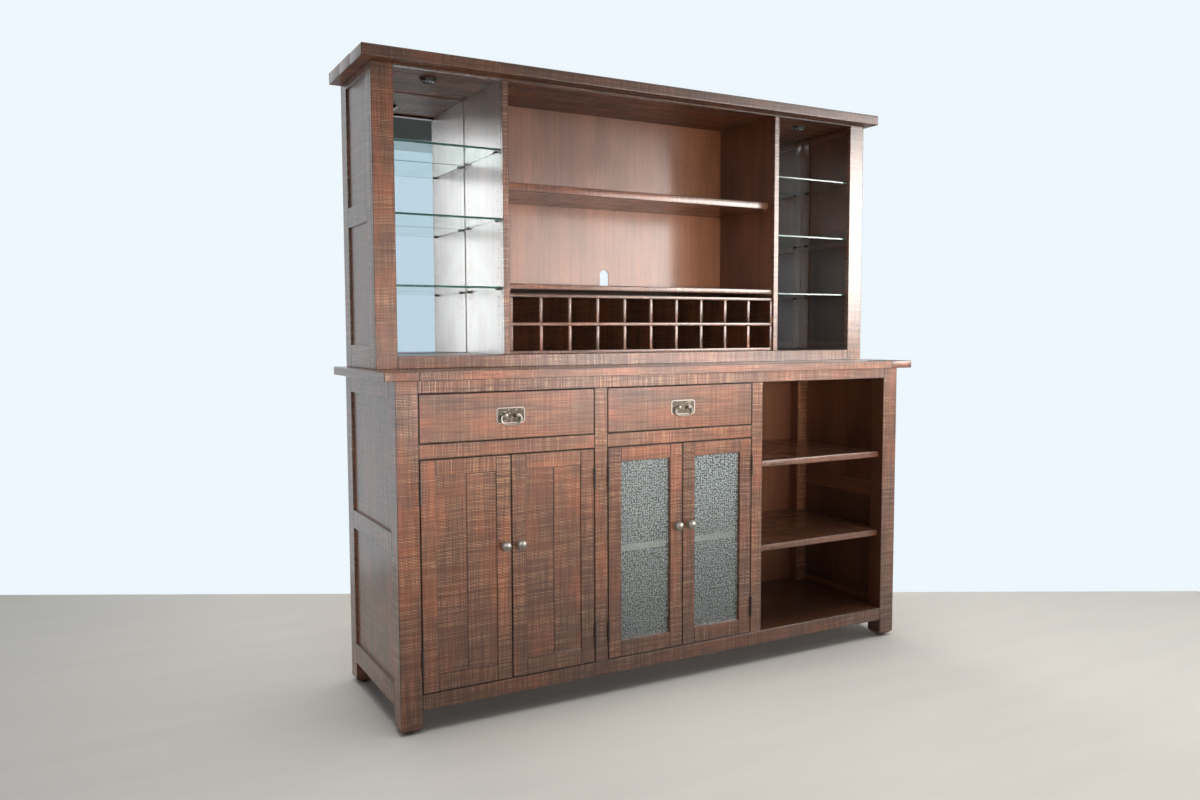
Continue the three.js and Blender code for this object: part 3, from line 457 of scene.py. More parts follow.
# Blind holes for shelf pins, as rows up a wall: (wall x, which way the wall looks, ys, (lowest z, highest z))
def drilled(board, rows):
    cutter = bmesh.new()
    for wallX, direction, ys, (z0, z1) in rows:
        for y in ys:
            for i in range(int((z1 - z0) / pinHole.pitch) + 1):
                spot = Matrix.Translation((wallX - direction * (pinHole.depth / 2 - pinHole.overrun), y,
                                           z0 + i * pinHole.pitch))
                bmesh.ops.create_cone(cutter, cap_ends=True, segments=12, radius1=pinHole.radius,
                                      radius2=pinHole.radius, depth=pinHole.depth + 2 * pinHole.overrun,
                                      matrix=spot @ Matrix.Rotation(math.pi / 2, 4, "Y"))
    solids = [link("drilling", meshData(mesh, "drilling")) for mesh in (board, cutter)]
    drill = solids[0].modifiers.new("drill", "BOOLEAN")
    drill.operation, drill.object, drill.solver = "DIFFERENCE", solids[1], "EXACT"
    bpy.context.view_layer.update()
    made = bmesh.new()
    made.from_object(solids[0], bpy.context.evaluated_depsgraph_get())
    for solid in solids:
        data = solid.data
        bpy.data.objects.remove(solid)
        bpy.data.meshes.remove(data)
    return made


boreFaceArea = (2e-6, 4e-5)
smoothShare = 0.08  # faces smaller than this share of a board's largest one are shaded smooth
easeShare = 0.3  # an eased edge takes no more than this share of a board's thickness


# A board is a block with its own grain direction, eased edges and tone. Several boards make one piece.
# The mesh carries, at each point, where it lies on its board, for the grain, saw marks, wear and the painted shade
# along its edges.
# Faces that look along the lining's direction take the lining's finish.
class Boards:
    def __init__(self, name, material, node=None, body="cabinet", lining=None):
        self.name, self.material, self.nodes, self.body = name, material, (node,) if node else (), body
        self.lining, self.bores, self.mesh = lining, [], bmesh.new()
        layers = self.mesh.verts.layers
        self.point = layers.float_vector.new("boardPoint")
        self.half = layers.float_vector.new("boardHalf")
        self.tone = layers.float.new("boardTone")

    def add(self, source, grain, tone=None, bored=False):
        source.normal_update()
        low, high = (Vector([pick(v.co[i] for v in source.verts) for i in range(3)]) for pick in (min, max))
        middle, half = (low + high) / 2, (high - low) / 2
        order = {"x": (0, 1, 2), "y": (1, 0, 2), "z": (2, 0, 1)}[grain]
        ownTone = dice.random() if tone is None else tone
        made = {}
        for vert in source.verts:
            copy = made[vert] = self.mesh.verts.new(vert.co)
            local = vert.co - middle
            copy[self.point], copy[self.half] = (Vector([place[i] for i in order]) for place in (local, half))
            copy[self.tone] = ownTone
        broad = max(face.calc_area() for face in source.faces) * smoothShare
        for face in source.faces:
            copy = self.mesh.faces.new([made[vert] for vert in face.verts])
            copy.smooth = face.calc_area() < broad and len(face.verts) == 4
            if bored and boreFaceArea[0] < face.calc_area() < boreFaceArea[1]:
                self.bores.append(copy)
        source.free()

    def block(self, x0, x1, y0, y1, z0, z1, grain, ease=0.0011, steps=2, tone=None, pins=()):
        source = bmesh.new()
        size = addCube(source, (x0, x1, y0, y1, z0, z1))[1]
        easeEdges(source, min(ease, min(size) * easeShare), steps)
        self.add(drilled(source, pins) if pins else source, grain, tone, bool(pins))

    def slab(self, outline, z0, z1, grain, ease, tone=None):
        source = bmesh.new()
        source.faces.new([source.verts.new((x, y, z0)) for x, y in outline])
        thicken(source, 2, z1)
        easeEdges(source, ease)
        self.add(source, grain, tone)

    # Boards side by side from front to back. The last one takes what is left.
    def row(self, x0, x1, y0, y1, z0, z1, widths, eases, steps=2):
        edges = [y0]
        for width in widths:
            edges.append(edges[-1] + width)
        for near, far, ease in zip(edges, (*edges[1:], y1), eases):
            self.block(x0, x1, near, far, z0, z1, "x", ease, steps)

    def finish(self):
        materials = [self.material]
        if self.lining:
            inside, direction = self.lining
            materials.append(inside)
            self.mesh.normal_update()
            for face in self.mesh.faces:
                face.material_index = 1 if face.normal.dot(Vector(direction)) > 0.9 else 0
        # Faces inside the pin holes take the near-black bore wood: painted shade.
        for face in self.bores:
            face.material_index = len(materials)
        if self.bores:
            materials.append(boreShadeWood)
        dress(meshData(self.mesh, self.name), self.name, materials, self.body,
              self.nodes)


# Base cabinet

base = Values(
    legWidth=0.070, legDepth=0.066, footChamfer=0.010, footTaper=0.009, glideHeight=0.008, ease=0.0014,
    railThickness=0.022, endRails=((0.078, 0.148), (0.5565, 0.6205), (1.029, 1.0867)), overlap=0.004,
    panelRecess=0.008, panelThickness=0.010, panelEase=0.0005, frameThickness=0.022, mullionWidth=0.0486,
    bottomRail=(0.071, 0.120), lockRail=(0.847, 0.893), topRail=(1.047, 1.0867), cleatWidth=0.014,
    cleatHeight=0.018, cleatEase=0.001, cleatBackGap=0.006, cupboardCleatSetback=0.084, bayCleatSetback=0.029,
    guideReach=0.0052)
seat = 0.0003  # between pieces that touch
_, endX, frontY, backY, _, endTop = nodeBox("base_end_right")
legInnerX = endX - base.legWidth
endInnerX = endX - base.railThickness
panelInnerX = endX - base.panelRecess - base.panelThickness
frameBackY = frontY + base.frameThickness
bayWidth = (2 * legInnerX - 2 * base.mullionWidth) / 3
middleBayX = bayWidth / 2
sideBayX = middleBayX + base.mullionWidth
cupboardShelfBottom, runnerBottom = nodeBox("cupboard_shelf_left")[4], nodeBox("drawer_runner_board")[4]
bayShelfBottoms = [nodeBox(f"bay_shelf_{level}")[4] for level in ("upper", "lower")]


# A leg tapers at its foot and stands on a round glide
def legBoard(boards, side, y0, y1):
    chamfer, lift = base.footChamfer, base.glideHeight
    x0, x1 = sorted((side * legInnerX, side * endX))
    source = bmesh.new()
    rings = [[source.verts.new((x, y, z)) for x, y in (
        (x0 + inset, y0 + inset), (x1 - inset, y0 + inset), (x1 - inset, y1 - inset), (x0 + inset, y1 - inset))]
        for z, inset in ((lift, base.footTaper), (lift + chamfer, 0.0), (endTop, 0.0))]
    source.faces.new(list(reversed(rings[0])))
    source.faces.new(rings[-1])
    for low, high in zip(rings, rings[1:]):
        for i in range(4):
            source.faces.new((low[i], low[(i + 1) % 4], high[(i + 1) % 4], high[i]))
    easeEdges(source, base.ease)
    boards.add(source, "z")


for side, word, shelfBottoms in ((-1, "left", [cupboardShelfBottom, runnerBottom]), (1, "right", bayShelfBottoms)):
    made = Boards(f"base_end_boards_{word}", sawnWood, f"base_end_{word}", lining=(veneer, (-side, 0, 0)))
    y0, y1 = frontY + base.legDepth, backY - base.legDepth
    legBoard(made, side, frontY, y0)
    legBoard(made, side, y1, backY)
    for low, high in base.endRails:
        made.block(side * endInnerX, side * endX, y0, y1, low, high, "y", base.ease)
    y0, y1 = y0 - base.overlap, y1 + base.overlap
    for (_, low), (high, _) in zip(base.endRails, base.endRails[1:]):
        made.block(side * panelInnerX, side * (endX - base.panelRecess), y0, y1, low - base.overlap,
                   high + base.overlap, "z", base.panelEase)
    for bottom in shelfBottoms:
        made.block(side * panelInnerX, side * (panelInnerX - base.cleatWidth), y0, y1,
                   bottom - seat - base.cleatHeight, bottom - seat, "y", base.cleatEase)
    made.finish()

made = Boards("base_face_frame_boards", sawnWood, "base_face_frame")
for x0, x1, (z0, z1) in ((seat - legInnerX, legInnerX - seat, base.bottomRail),
                         (seat - legInnerX, legInnerX - seat, base.topRail),
                         (seat - legInnerX, -sideBayX, base.lockRail), (-middleBayX, middleBayX, base.lockRail)):
    made.block(x0, x1, frontY, frameBackY, z0, z1, "x", base.ease)
for x0 in (-sideBayX, middleBayX):
    made.block(x0, x0 + base.mullionWidth, frontY, frameBackY, base.bottomRail[1], base.topRail[0], "z", base.ease)
made.finish()


# Boards inside the case that are notched round the legs
def notched(x0, x1, y0, y1):
    legY0, legY1 = frontY + base.legDepth + seat, backY - base.legDepth - seat
    inner = legInnerX - seat
    behind = y0 > legY0
    if x0 < -inner:
        points = [(x0, y0)] if behind else [(-inner, y0), (-inner, legY0), (x0, legY0)]
        points += [(x0, legY1), (-inner, legY1), (-inner, y1)]
    else:
        points = [(x0, y0), (x0, y1)]
    if x1 > inner:
        points += [(inner, y1), (inner, legY1), (x1, legY1)]
        points += [(x1, y0)] if behind else [(x1, legY0), (inner, legY0), (inner, y0)]
    else:
        points += [(x1, y1), (x1, y0)]
    return list(reversed(points))


for name, material, edging in (
        ("bay_shelf_upper", sawnWood, None), ("bay_shelf_lower", sawnWood, None),
        ("cupboard_shelf_left", veneer, paleEdging), ("cupboard_shelf_right", veneer, paleEdging),
        ("base_bottom_board", veneer, None)):
    x0, x1, y0, y1, z0, z1 = nodeBox(name)
    made = Boards(f"{name}_slab", material, name, lining=edging and (edging, (0, -1, 0)))
    # The tone of 0.8 darkens these boards inside the base: painted shade for its dim inside.
    made.slab(notched(x0, x1, y0, y1), z0, z1, "x", 0.0012, 0.8)
    made.finish()
cupboardCleat = (cupboardShelfBottom, base.cupboardCleatSetback)
for word, cleats in (("left", ((-1, *cupboardCleat), (1, *cupboardCleat))),
                     ("right", ((-1, *cupboardCleat), (-1, runnerBottom, 0.0),
                                *((1, bottom, base.bayCleatSetback) for bottom in bayShelfBottoms)))):
    name = f"base_partition_{word}"
    x0, x1, y0, y1, z0, z1 = nodeBox(name)
    x0, x1 = x0 + base.cleatWidth, x1 - base.cleatWidth
    made = Boards(f"{name}_board", veneer, name)
    # The tone of 0.6 darkens the partition: painted shade for the dim inside of the base.
    made.block(x0, x1, y0, y1, z0, z1, "z", 0.0008, tone=0.6)
    for side, bottom, setback in cleats:
        wall = x1 if side > 0 else x0
        made.block(wall, wall + side * base.cleatWidth, max(y0, frontY + setback), y1 - base.cleatBackGap,
                   bottom - seat - base.cleatHeight, bottom - seat, "y", base.cleatEase)
    made.finish()
made = Boards("base_back_panel_sheet", veneer, "base_back_panel")
# The tone of 0.85 darkens the back panel: painted shade for the dim inside of the base.
made.block(*nodeBox("base_back_panel"), "z", 0.0006, tone=0.85)
made.finish()

x0, x1, y0, y1, z0, z1 = nodeBox("drawer_runner_board")
made = Boards("drawer_runner_board_slab", plainWood, "drawer_runner_board")
made.slab(notched(x0, x1, y0, y1), z0, base.lockRail[1], "x", 0.001)
for left, right in ((seat - legInnerX, base.guideReach - legInnerX),
                    (-sideBayX - base.guideReach, base.guideReach - middleBayX), (middleBayX - base.guideReach, x1)):
    made.block(left, right, y0, y1, base.lockRail[1], z1, "y", 0.0008)
made.finish()
print("base cabinet built")


# Drawers

drawer = Values(front=0.020, side=0.012, height=0.118, bottom=0.006, bottomRise=0.008, bottomTongue=0.003,
                sideGap=0.006, reveal=0.0025, backGap=0.0004, backDrop=0.0005, frontTone=0.35)
for word, x0, x1 in (("left", -legInnerX, -sideBayX), ("right", -middleBayX, middleBayX)):
    body = f"drawer_{word}"
    _, _, front, back, _, _ = nodeBox(f"{body}_box")
    inside = front + drawer.front
    made = Boards(f"{body}_front", sawnWood, f"{body}_box", body)
    made.block(x0 + drawer.reveal, x1 - drawer.reveal, front, inside, base.lockRail[1] + drawer.reveal,
               base.topRail[0] - drawer.reveal, "x", 0.0018, 3, drawer.frontTone)
    made.finish()
    made = Boards(f"{body}_tray", plainWood, None, body)
    left, right, wall = x0 + drawer.sideGap, x1 - drawer.sideGap, drawer.side
    floor = base.lockRail[1] + seat
    top, rise = floor + drawer.height, floor + drawer.bottomRise
    for near, far in ((left, left + wall), (right - wall, right)):
        made.block(near, far, inside, back, floor, top, "y", 0.0012)
    made.block(left + wall, right - wall, back - wall, back - drawer.backGap, floor, top - drawer.backDrop, "x",
               0.0012)
    made.block(left + wall - drawer.bottomTongue, right - wall + drawer.bottomTongue, inside,
               back - wall + drawer.bottomTongue, rise, rise + drawer.bottom, "y", 0.0004)
    made.finish()
print("drawers built")


# Doors

door = Values(hingeGap=0.003, thickness=0.022, stile=0.050, topRail=0.050, bottomRail=0.054, ease=0.0013,
              plankEase=0.0018, bead=0.007, beadEase=0.0015)
doorList = (("wood_door_left", -legInnerX, 1, False), ("wood_door_right", -sideBayX, -1, False),
            ("glass_door_left", -middleBayX, 1, True), ("glass_door_right", middleBayX, -1, True))
for name, hingeX, direction, isGlass in doorList:
    x0 = hingeX + direction * door.hingeGap
    x1 = x0 + direction * (bayWidth - 3 * door.hingeGap) / 2
    bottom, top = base.bottomRail[1] + drawer.reveal, base.lockRail[0] - drawer.reveal
    low, high = bottom + door.bottomRail, top - door.topRail
    y1 = frontY + door.thickness
    made = Boards(f"{name}_boards", sawnWood, f"{name}_frame", name)
    stile = direction * door.stile
    for near, far in ((x0, x0 + stile), (x1 - stile, x1)):
        made.block(near, far, frontY, y1, bottom, top, "z", door.ease)
    for near, far in ((high, top), (bottom, low)):
        made.block(x0 + stile, x1 - stile, frontY, y1, near, far, "x", door.ease)
    if isGlass:
        left, right = sorted((x0 + stile, x1 - stile))
        behind = nodeBox(f"{name}_pane")[3] + seat
        for near, far in ((left, left + door.bead), (right - door.bead, right)):
            made.block(near, far, behind, y1, low, high, "z", door.beadEase)
        for near, far in ((low, low + door.bead), (high - door.bead, high)):
            made.block(left + door.bead, right - door.bead, behind, y1, near, far, "x", door.beadEase)
    made.finish()
    if not isGlass:
        left, right, *box = nodeBox(f"{name}_planks")
        made = Boards(f"{name}_plank_pair", sawnWood, f"{name}_planks", name)
        for near, far in ((left, (left + right) / 2), ((left + right) / 2, right)):
            made.block(near, far, *box, "z", door.plankEase)
        made.finish()
print("doors built")


# Counter

counter = Values(breadboard=0.105, outerEase=0.003, seamEase=0.0009, planks=(0.15, 0.12, 0.14, 0.11))
x0, x1, *box = nodeBox("counter_top")
made = Boards("counter_planks", sawnWood, "counter_top")
made.block(x0, x0 + counter.breadboard, *box, "y", counter.outerEase, 3)
made.block(x1 - counter.breadboard, x1, *box, "y", counter.outerEase, 3)
made.row(x0 + counter.breadboard, x1 - counter.breadboard, *box, counter.planks, (counter.seamEase,) * 5)
made.finish()


# Hutch

hutch = Values(
    postWidth=0.071, frameThickness=0.020, stile=0.048, rearStile=0.066, thickness=0.022, panelRecess=0.007,
    panelThickness=0.009, bottomRailTop=1.1565, topRailShowing=0.007, ease=0.0014, postTones=(0.02, 0.1),
    endRails=((1.1153, 1.191), (1.5846, 1.6516), (2.0452, 2.0709)), dividerThickness=0.022, dividerLip=0.018,
    pinFromFront=0.045, pinFromBack=0.040, pinRows=(1.225, 2.0), middlePinRows=(1.59, 1.88),
    middlePinFromFront=0.075, middlePinFromBack=0.05, cleatReach=0.014, cleatInset=0.014, cleatThickness=0.004,
    edgeGap=0.0004, topPlanks=(0.14, 0.13), topEases=(0.004, 0.0012, 0.0012))
_, hutchEndX, hutchFrontY, _, frameBottom, _ = nodeBox("hutch_face_frame")
hutchBackY = nodeBox("hutch_end_left")[3]
hutchFrameBackY = hutchFrontY + hutch.frameThickness
hutchInnerX = hutchEndX - hutch.thickness
ceiling = nodeBox("hutch_top")[4]
hutchPanelY, mirrorY = nodeBox("hutch_back_panel")[2], nodeBox("mirror_left")[2]
deckBox = nodeBox("rack_deck")
middleX = deckBox[1] + seat
dividerX = middleX + hutch.dividerThickness
pinYs = (hutchFrontY + hutch.pinFromFront, mirrorY - hutch.pinFromBack)

for side, word in sides:
    name = f"hutch_end_{word}"
    made = Boards(f"{name}_boards", sawnWood, name, lining=(veneer, (-side, 0, 0)))
    outer, inner = side * hutchEndX, side * hutchInnerX
    y0, rails = hutchFrameBackY + seat, hutch.endRails
    s0, s1 = y0 + hutch.stile, hutchBackY - hutch.rearStile
    for near, far, pinY in ((y0, s0, pinYs[0]), (s1, hutchBackY, pinYs[1])):
        made.block(inner, outer, near, far, rails[0][0], rails[-1][1], "z", hutch.ease,
                   pins=((inner, -side, (pinY,), hutch.pinRows),))
    for low, high in rails:
        made.block(inner, outer, s0, s1, low, high, "y", hutch.ease)
    face = side * (hutchEndX - hutch.panelRecess)
    for (_, low), (high, _) in zip(rails, rails[1:]):
        made.block(face, face - side * hutch.panelThickness, s0 - base.overlap, s1 + base.overlap,
                   low - base.overlap, high + base.overlap, "z", base.panelEase)
    made.finish()

made = Boards("hutch_face_frame_boards", sawnWood, "hutch_face_frame")
postX, top = hutchEndX - hutch.postWidth, ceiling - seat
for (side, _), tone in zip(sides, hutch.postTones):
    made.block(side * postX, side * hutchEndX, hutchFrontY, hutchFrameBackY, frameBottom, top, "z", hutch.ease,
               tone=tone)
made.block(-postX, postX, hutchFrontY, hutchFrameBackY, frameBottom, hutch.bottomRailTop, "x", hutch.ease, tone=0.9)
made.block(-postX, postX, hutchFrontY, hutchFrameBackY, ceiling - hutch.topRailShowing, top, "x", 0.001)
made.finish()
# The top's underside takes the low-gloss copy: painted shade.
made = Boards("hutch_top_planks", sawnWood, "hutch_top", lining=(undersideShadeWood, (0, 0, -1)))
made.row(*nodeBox("hutch_top"), hutch.topPlanks, hutch.topEases, 3)
made.finish()

for side, word in sides:
    name = f"hutch_divider_{word}"
    made = Boards(f"{name}_board", veneer, name)
    x0, x1 = sorted((side * middleX, side * dividerX))
    y1, bottom = hutchPanelY - seat, hutch.bottomRailTop + seat
    middleYs = (hutchFrontY + hutch.middlePinFromFront, hutchPanelY - hutch.middlePinFromBack)
    made.block(x0, x1, hutchFrontY + hutch.dividerLip, y1, bottom, top, "z", 0.0006, tone=0.2,
               pins=((side * dividerX, side, pinYs, hutch.pinRows),
                     (side * middleX, -side, middleYs, hutch.middlePinRows)))
    for shelf in (nodeBox("hutch_shelf"), deckBox):
        high = shelf[4] - seat
        made.block(side * middleX, side * (middleX - hutch.cleatReach), shelf[2] + hutch.cleatInset,
                   y1 - hutch.cleatInset, high - hutch.cleatThickness, high, "y", 0.0006)
    made.finish()
    made = Boards(f"{name}_front_edge", sawnWood)
    made.block(x0, x1, hutchFrontY, hutchFrontY + hutch.dividerLip - seat, bottom,
               ceiling - hutch.topRailShowing - hutch.edgeGap, "z", 0.0012, tone=0.15)
    made.finish()

for name, material in (("hutch_floor", veneer), ("hutch_shelf", sawnWood), ("rack_deck", sawnWood)):
    made = Boards(f"{name}_slab", material, name)
    made.block(*nodeBox(name), "x", 0.0016)
    made.finish()

rack = Values(thick=0.012, columns=10, rows=2, ease=0.0012, setback=0.0002, tongue=0.0004)
x0, x1, y0, y1, z0, z1 = nodeBox("wine_rack")
made = Boards("wine_rack_boards", sawnWood, "wine_rack")
lows = [z0 + row * (z1 - z0 - rack.thick) / rack.rows for row in range(rack.rows + 1)]
for low in lows:
    made.block(x0, x1, y0, y1, low, low + rack.thick, "x", rack.ease)
for low, high in zip(lows, lows[1:]):
    for column in range(rack.columns + 1):
        left = x0 + column * (x1 - x0 - rack.thick) / rack.columns
        made.block(left, left + rack.thick, y0 + rack.setback, y1, low + rack.thick - rack.tongue,
                   high + rack.tongue, "z", rack.ease)
made.finish()

cableHole = Values(width=0.040, height=0.081, steps=14)
x0, x1, y0, y1, z0, z1 = nodeBox("hutch_back_panel")
radius, foot = cableHole.width / 2, deckBox[5]
crown = foot + cableHole.height - radius
arch = [(-radius, foot), (radius, foot)]
arch += [(radius * math.cos(turn), crown + radius * math.sin(turn))
         for turn in (math.pi * i / cableHole.steps for i in range(cableHole.steps + 1))]
outline = [(x0, z0), (x1, z0), (x1, z1), (x0, z1)]
source = bmesh.new()
verts = [source.verts.new((x, y0, z)) for x, z in outline + arch]
for corners in tessellate_polygon([[Vector((x, z, 0)) for x, z in ring] for ring in (outline, arch)]):
    source.faces.new([verts[i] for i in corners])
thicken(source, 1, y1)
made = Boards("hutch_back_panel_sheet", veneer, "hutch_back_panel")
made.add(source, "z", 0.05)
made.finish()
print("hutch built")


# Glass shelves and mirrors

ridge = Values(pitch=0.0088, length=(0.007, 0.0125), width=(0.0030, 0.0042), height=0.00055, border=0.009,
               bend=0.0014, stray=0.3, lift=0.00002)


# Short worms cast into the front of the door glass, each at its own angle
def castRidges(mesh, x0, x1, y0, y1, z0, z1):
    wide, tall = x1 - x0 - 2 * ridge.border, z1 - z0 - 2 * ridge.border
    columns, rows = int(wide / ridge.pitch), int(tall / ridge.pitch)
    for row in range(rows + 1):
        for column in range(columns + 1):
            x = x0 + ridge.border + (column + dice.uniform(-ridge.stray, ridge.stray)) * wide / columns
            z = z0 + ridge.border + (row + dice.uniform(-ridge.stray, ridge.stray)) * tall / rows
            turn = dice.uniform(0, math.pi)
            length, width = dice.uniform(*ridge.length) / 2, dice.uniform(*ridge.width) / 2
            bend = dice.uniform(-1, 1) * ridge.bend
            verts = []
            for along, across, high in (
                    (-length, bend, 0), (-length * 0.6, -width, 0), (length * 0.6, -width, 0), (length, bend, 0),
                    (length * 0.6, width, 0), (-length * 0.6, width, 0), (-length * 0.5, 0, 1), (length * 0.5, 0, 1)):
                across -= bend * 0.5
                verts.append(mesh.verts.new((x + along * math.cos(turn) - across * math.sin(turn),
                                             y0 - ridge.lift - high * ridge.height,
                                             z + along * math.sin(turn) + across * math.cos(turn))))
            for corners in ((0, 1, 6), (1, 2, 7, 6), (2, 3, 7), (3, 4, 7), (4, 5, 6, 7), (5, 0, 6)):
                face = mesh.faces.new([verts[i] for i in corners])
                face.smooth, face.material_index = True, 1


# A plate of glass with ground edges. Thin is the axis that it is thin along.
def buildPlate(name, body, materials, thin, ease, isCast=False):
    mesh = bmesh.new()
    addCube(mesh, nodeBox(name))
    easeEdges(mesh, ease)
    for face in mesh.faces:
        face.material_index = 1 if abs(face.normal[thin]) <= 0.9 and not isCast else 0
        face.smooth = face.calc_area() < 0.0006
    if isCast:
        castRidges(mesh, *nodeBox(name))
    return dress(meshData(mesh, name), f"{name}_plate", materials, body, (name,))


for _, word in sides:
    buildPlate(f"mirror_{word}", "cabinet", [silvered, mirrorRim], 1, 0.0018)
for _, word in sides:
    for level in ("upper", "middle", "lower"):
        buildPlate(f"glass_shelf_{word}_{level}", "cabinet", [shelfGlass, shelfGlassEdge], 2, 0.0009)
    pane = buildPlate(f"glass_door_{word}_pane", f"glass_door_{word}", [patternGlass, ridgeGlintGlass],
                      1, 0.0006, True)
    pane.visible_shadow = False
print("glass built")


# Metalwork

# Turned shape: (radius, height) pairs from the foot up, on the axis that the matrix gives
def turned(mesh, profile, axis, segments=36, index=0):
    rings = []
    for radius, height in profile:
        count = 1 if radius < 1e-6 else segments
        rings.append([mesh.verts.new(axis @ Vector((radius * math.cos(2 * math.pi * i / count),
                                                    radius * math.sin(2 * math.pi * i / count), height)))
                      for i in range(count)])
    for low, high in zip(rings, rings[1:]):
        for i in range(segments):
            corners = []
            for ring, j in ((low, i), (low, i + 1), (high, i + 1), (high, i)):
                vert = ring[j % len(ring)]
                if vert not in corners:
                    corners.append(vert)
            if len(corners) > 2:
                face = mesh.faces.new(corners)
                face.smooth, face.material_index = True, index


# A place with its axis turned by quarter turns about x or y
def facing(x, y, z, quarters, axis="X"):
    return Matrix.Translation((x, y, z)) @ Matrix.Rotation(quarters * math.pi / 2, 4, axis)


def finishMetal(mesh, name, materials, body="cabinet", nodes=()):
    bmesh.ops.recalc_face_normals(mesh, faces=mesh.faces)
    dress(meshData(mesh, name), name, materials, body, nodes)


def softBlock(mesh, *box, ease):
    verts, _ = addCube(mesh, box)
    bmesh.ops.bevel(mesh, geom=list({edge for vert in verts for edge in vert.link_edges}), offset=ease, segments=2,
                    profile=0.6, affect="EDGES")


knob = Values(
    neck=[(0.0, 0.0), (0.0092, 0.0), (0.0098, 0.0006), (0.0098, 0.002), (0.0088, 0.003), (0.0064, 0.0042),
          (0.0053, 0.007), (0.0052, 0.0112), (0.0064, 0.0142), (0.0102, 0.0166)],
    head=[(0.0102, 0.0166), (0.0140, 0.0184), (0.0154, 0.0204), (0.01575, 0.0224), (0.0153, 0.0244),
          (0.0138, 0.0268), (0.0108, 0.0291), (0.0070, 0.0306), (0.0032, 0.0314), (0.0, 0.0316)])
for name, *_ in doorList:
    x0, x1, _, back, z0, z1 = nodeBox(f"{name}_knob")
    mesh = bmesh.new()
    for profile, index in ((knob.neck, 1), (knob.head, 0)):
        turned(mesh, profile, facing((x0 + x1) / 2, back, (z0 + z1) / 2, 1), 40, index)
    bmesh.ops.remove_doubles(mesh, verts=mesh.verts, dist=1e-6)
    finishMetal(mesh, f"{name}_turned_knob", [agedMetal, darkMetal], name, (f"{name}_knob",))

pull = Values(
    corner=0.0105, cornerSteps=6, rim=0.0026, recess=0.0009, chamfer=0.0007, thick=0.0024, post=0.0205,
    postProfile=[(0.0064, 0.0), (0.0064, 0.0006), (0.0048, 0.0020), (0.0037, 0.0036), (0.0036, 0.0078),
                 (0.0050, 0.0084), (0.0061, 0.0094), (0.0062, 0.0104), (0.0050, 0.0114), (0.0026, 0.0119),
                 (0.0, 0.0120)])


def roundedOutline(x0, x1, z0, z1, inset):
    radius = max(pull.corner - inset, 0.001)
    left, right, low, high = x0 + inset + radius, x1 - inset - radius, z0 + inset + radius, z1 - inset - radius
    return [(x + radius * math.cos(turn), z + radius * math.sin(turn))
            for x, z, start in ((right, high, 0), (left, high, 90), (left, low, 180), (right, low, 270))
            for turn in (math.radians(start + 90 * i / pull.cornerSteps) for i in range(pull.cornerSteps + 1))]


for _, word in sides:
    body = f"drawer_{word}"
    x0, x1, _, back, z0, z1 = nodeBox(f"{body}_pull_plate")
    face = back - pull.thick
    mesh = bmesh.new()
    rings = [[mesh.verts.new((x, y, z)) for x, z in roundedOutline(x0, x1, z0, z1, inset)] for inset, y in (
        (0.0, back), (0.0, face + pull.chamfer), (pull.chamfer, face), (pull.rim, face),
        (pull.rim + pull.recess, face + pull.recess))]
    for low, high in zip(rings, rings[1:]):
        for i in range(len(low)):
            j = (i + 1) % len(low)
            mesh.faces.new((low[i], low[j], high[j], high[i])).material_index = 1 if high is rings[-1] else 0
    mesh.faces.new(rings[-1]).material_index = 1
    mesh.faces.new(list(reversed(rings[0])))
    for side in (-1, 1):
        turned(mesh, pull.postProfile,
               facing((x0 + x1) / 2 + side * pull.post, face + 0.0001, (z0 + z1) / 2, 1), 28)
    finishMetal(mesh, f"{body}_bail_plate", [agedMetal, darkMetal], body, (f"{body}_pull_plate",))

hinge = Values(
    leaf=0.0012, leafGap=0.00005, leafInset=0.0004, depth=0.018, count=5, height=0.015, radius=0.004, bore=0.0012,
    chamfer=0.0004, knuckleLap=0.0006, axisY=0.0043, middles=(0.747, 0.220), slack=0.00015, screwProud=0.00002,
    screwLifts=(-0.026, 0.0, 0.026), screwY=0.0105,
    screw=[(0.0029, 0.0), (0.0027, 0.0001), (0.0010, 0.00018), (0.0008, 0.00006), (0.0, 0.00006)])

# The door's half of each butt hinge: a leaf on the door's edge, two knuckles on the pin, three screws
for name, hingeX, direction, _ in doorList:
    mesh = bmesh.new()
    near = hingeX + direction * (door.hingeGap - hinge.leaf)
    far = hingeX + direction * (door.hingeGap - hinge.leafGap)
    axisX, axisY = hingeX + direction * door.hingeGap / 2, frontY - hinge.axisY
    for middle in hinge.middles:
        foot = middle - hinge.count * hinge.height / 2
        softBlock(mesh, near, far, frontY + hinge.leafInset, frontY + hinge.depth, foot,
                  foot + hinge.count * hinge.height, ease=0.0002)
        for i in (1, 3):
            low, top = foot + i * hinge.height + hinge.slack, foot + (i + 1) * hinge.height - hinge.slack
            softBlock(mesh, near, far, axisY, frontY + hinge.knuckleLap, low, top, ease=0.0001)
            full, slim, reach, rise = hinge.radius, hinge.radius - hinge.chamfer, top - low, hinge.chamfer
            turned(mesh, [(hinge.bore, 0.0), (slim, 0.0), (full, rise), (full, reach - rise), (slim, reach),
                          (hinge.bore, reach)], Matrix.Translation((axisX, axisY, low)), 24)
        for lift in hinge.screwLifts:
            turned(mesh, hinge.screw, facing(near + direction * hinge.screwProud, frontY + hinge.screwY, middle + lift,
                                             -direction, "Y"), 20)
    finishMetal(mesh, f"{name}_hinge_leaves", [blackMetal], name)

screw = Values(inset=0.011, pitch=0.2, sunk=0.00002,
               head=[(0.0, 0.0), (0.0036, 0.0), (0.0034, 0.0006), (0.0026, 0.0011), (0.0013, 0.0013),
                     (0.0009, 0.0008), (0.0, 0.0008)])

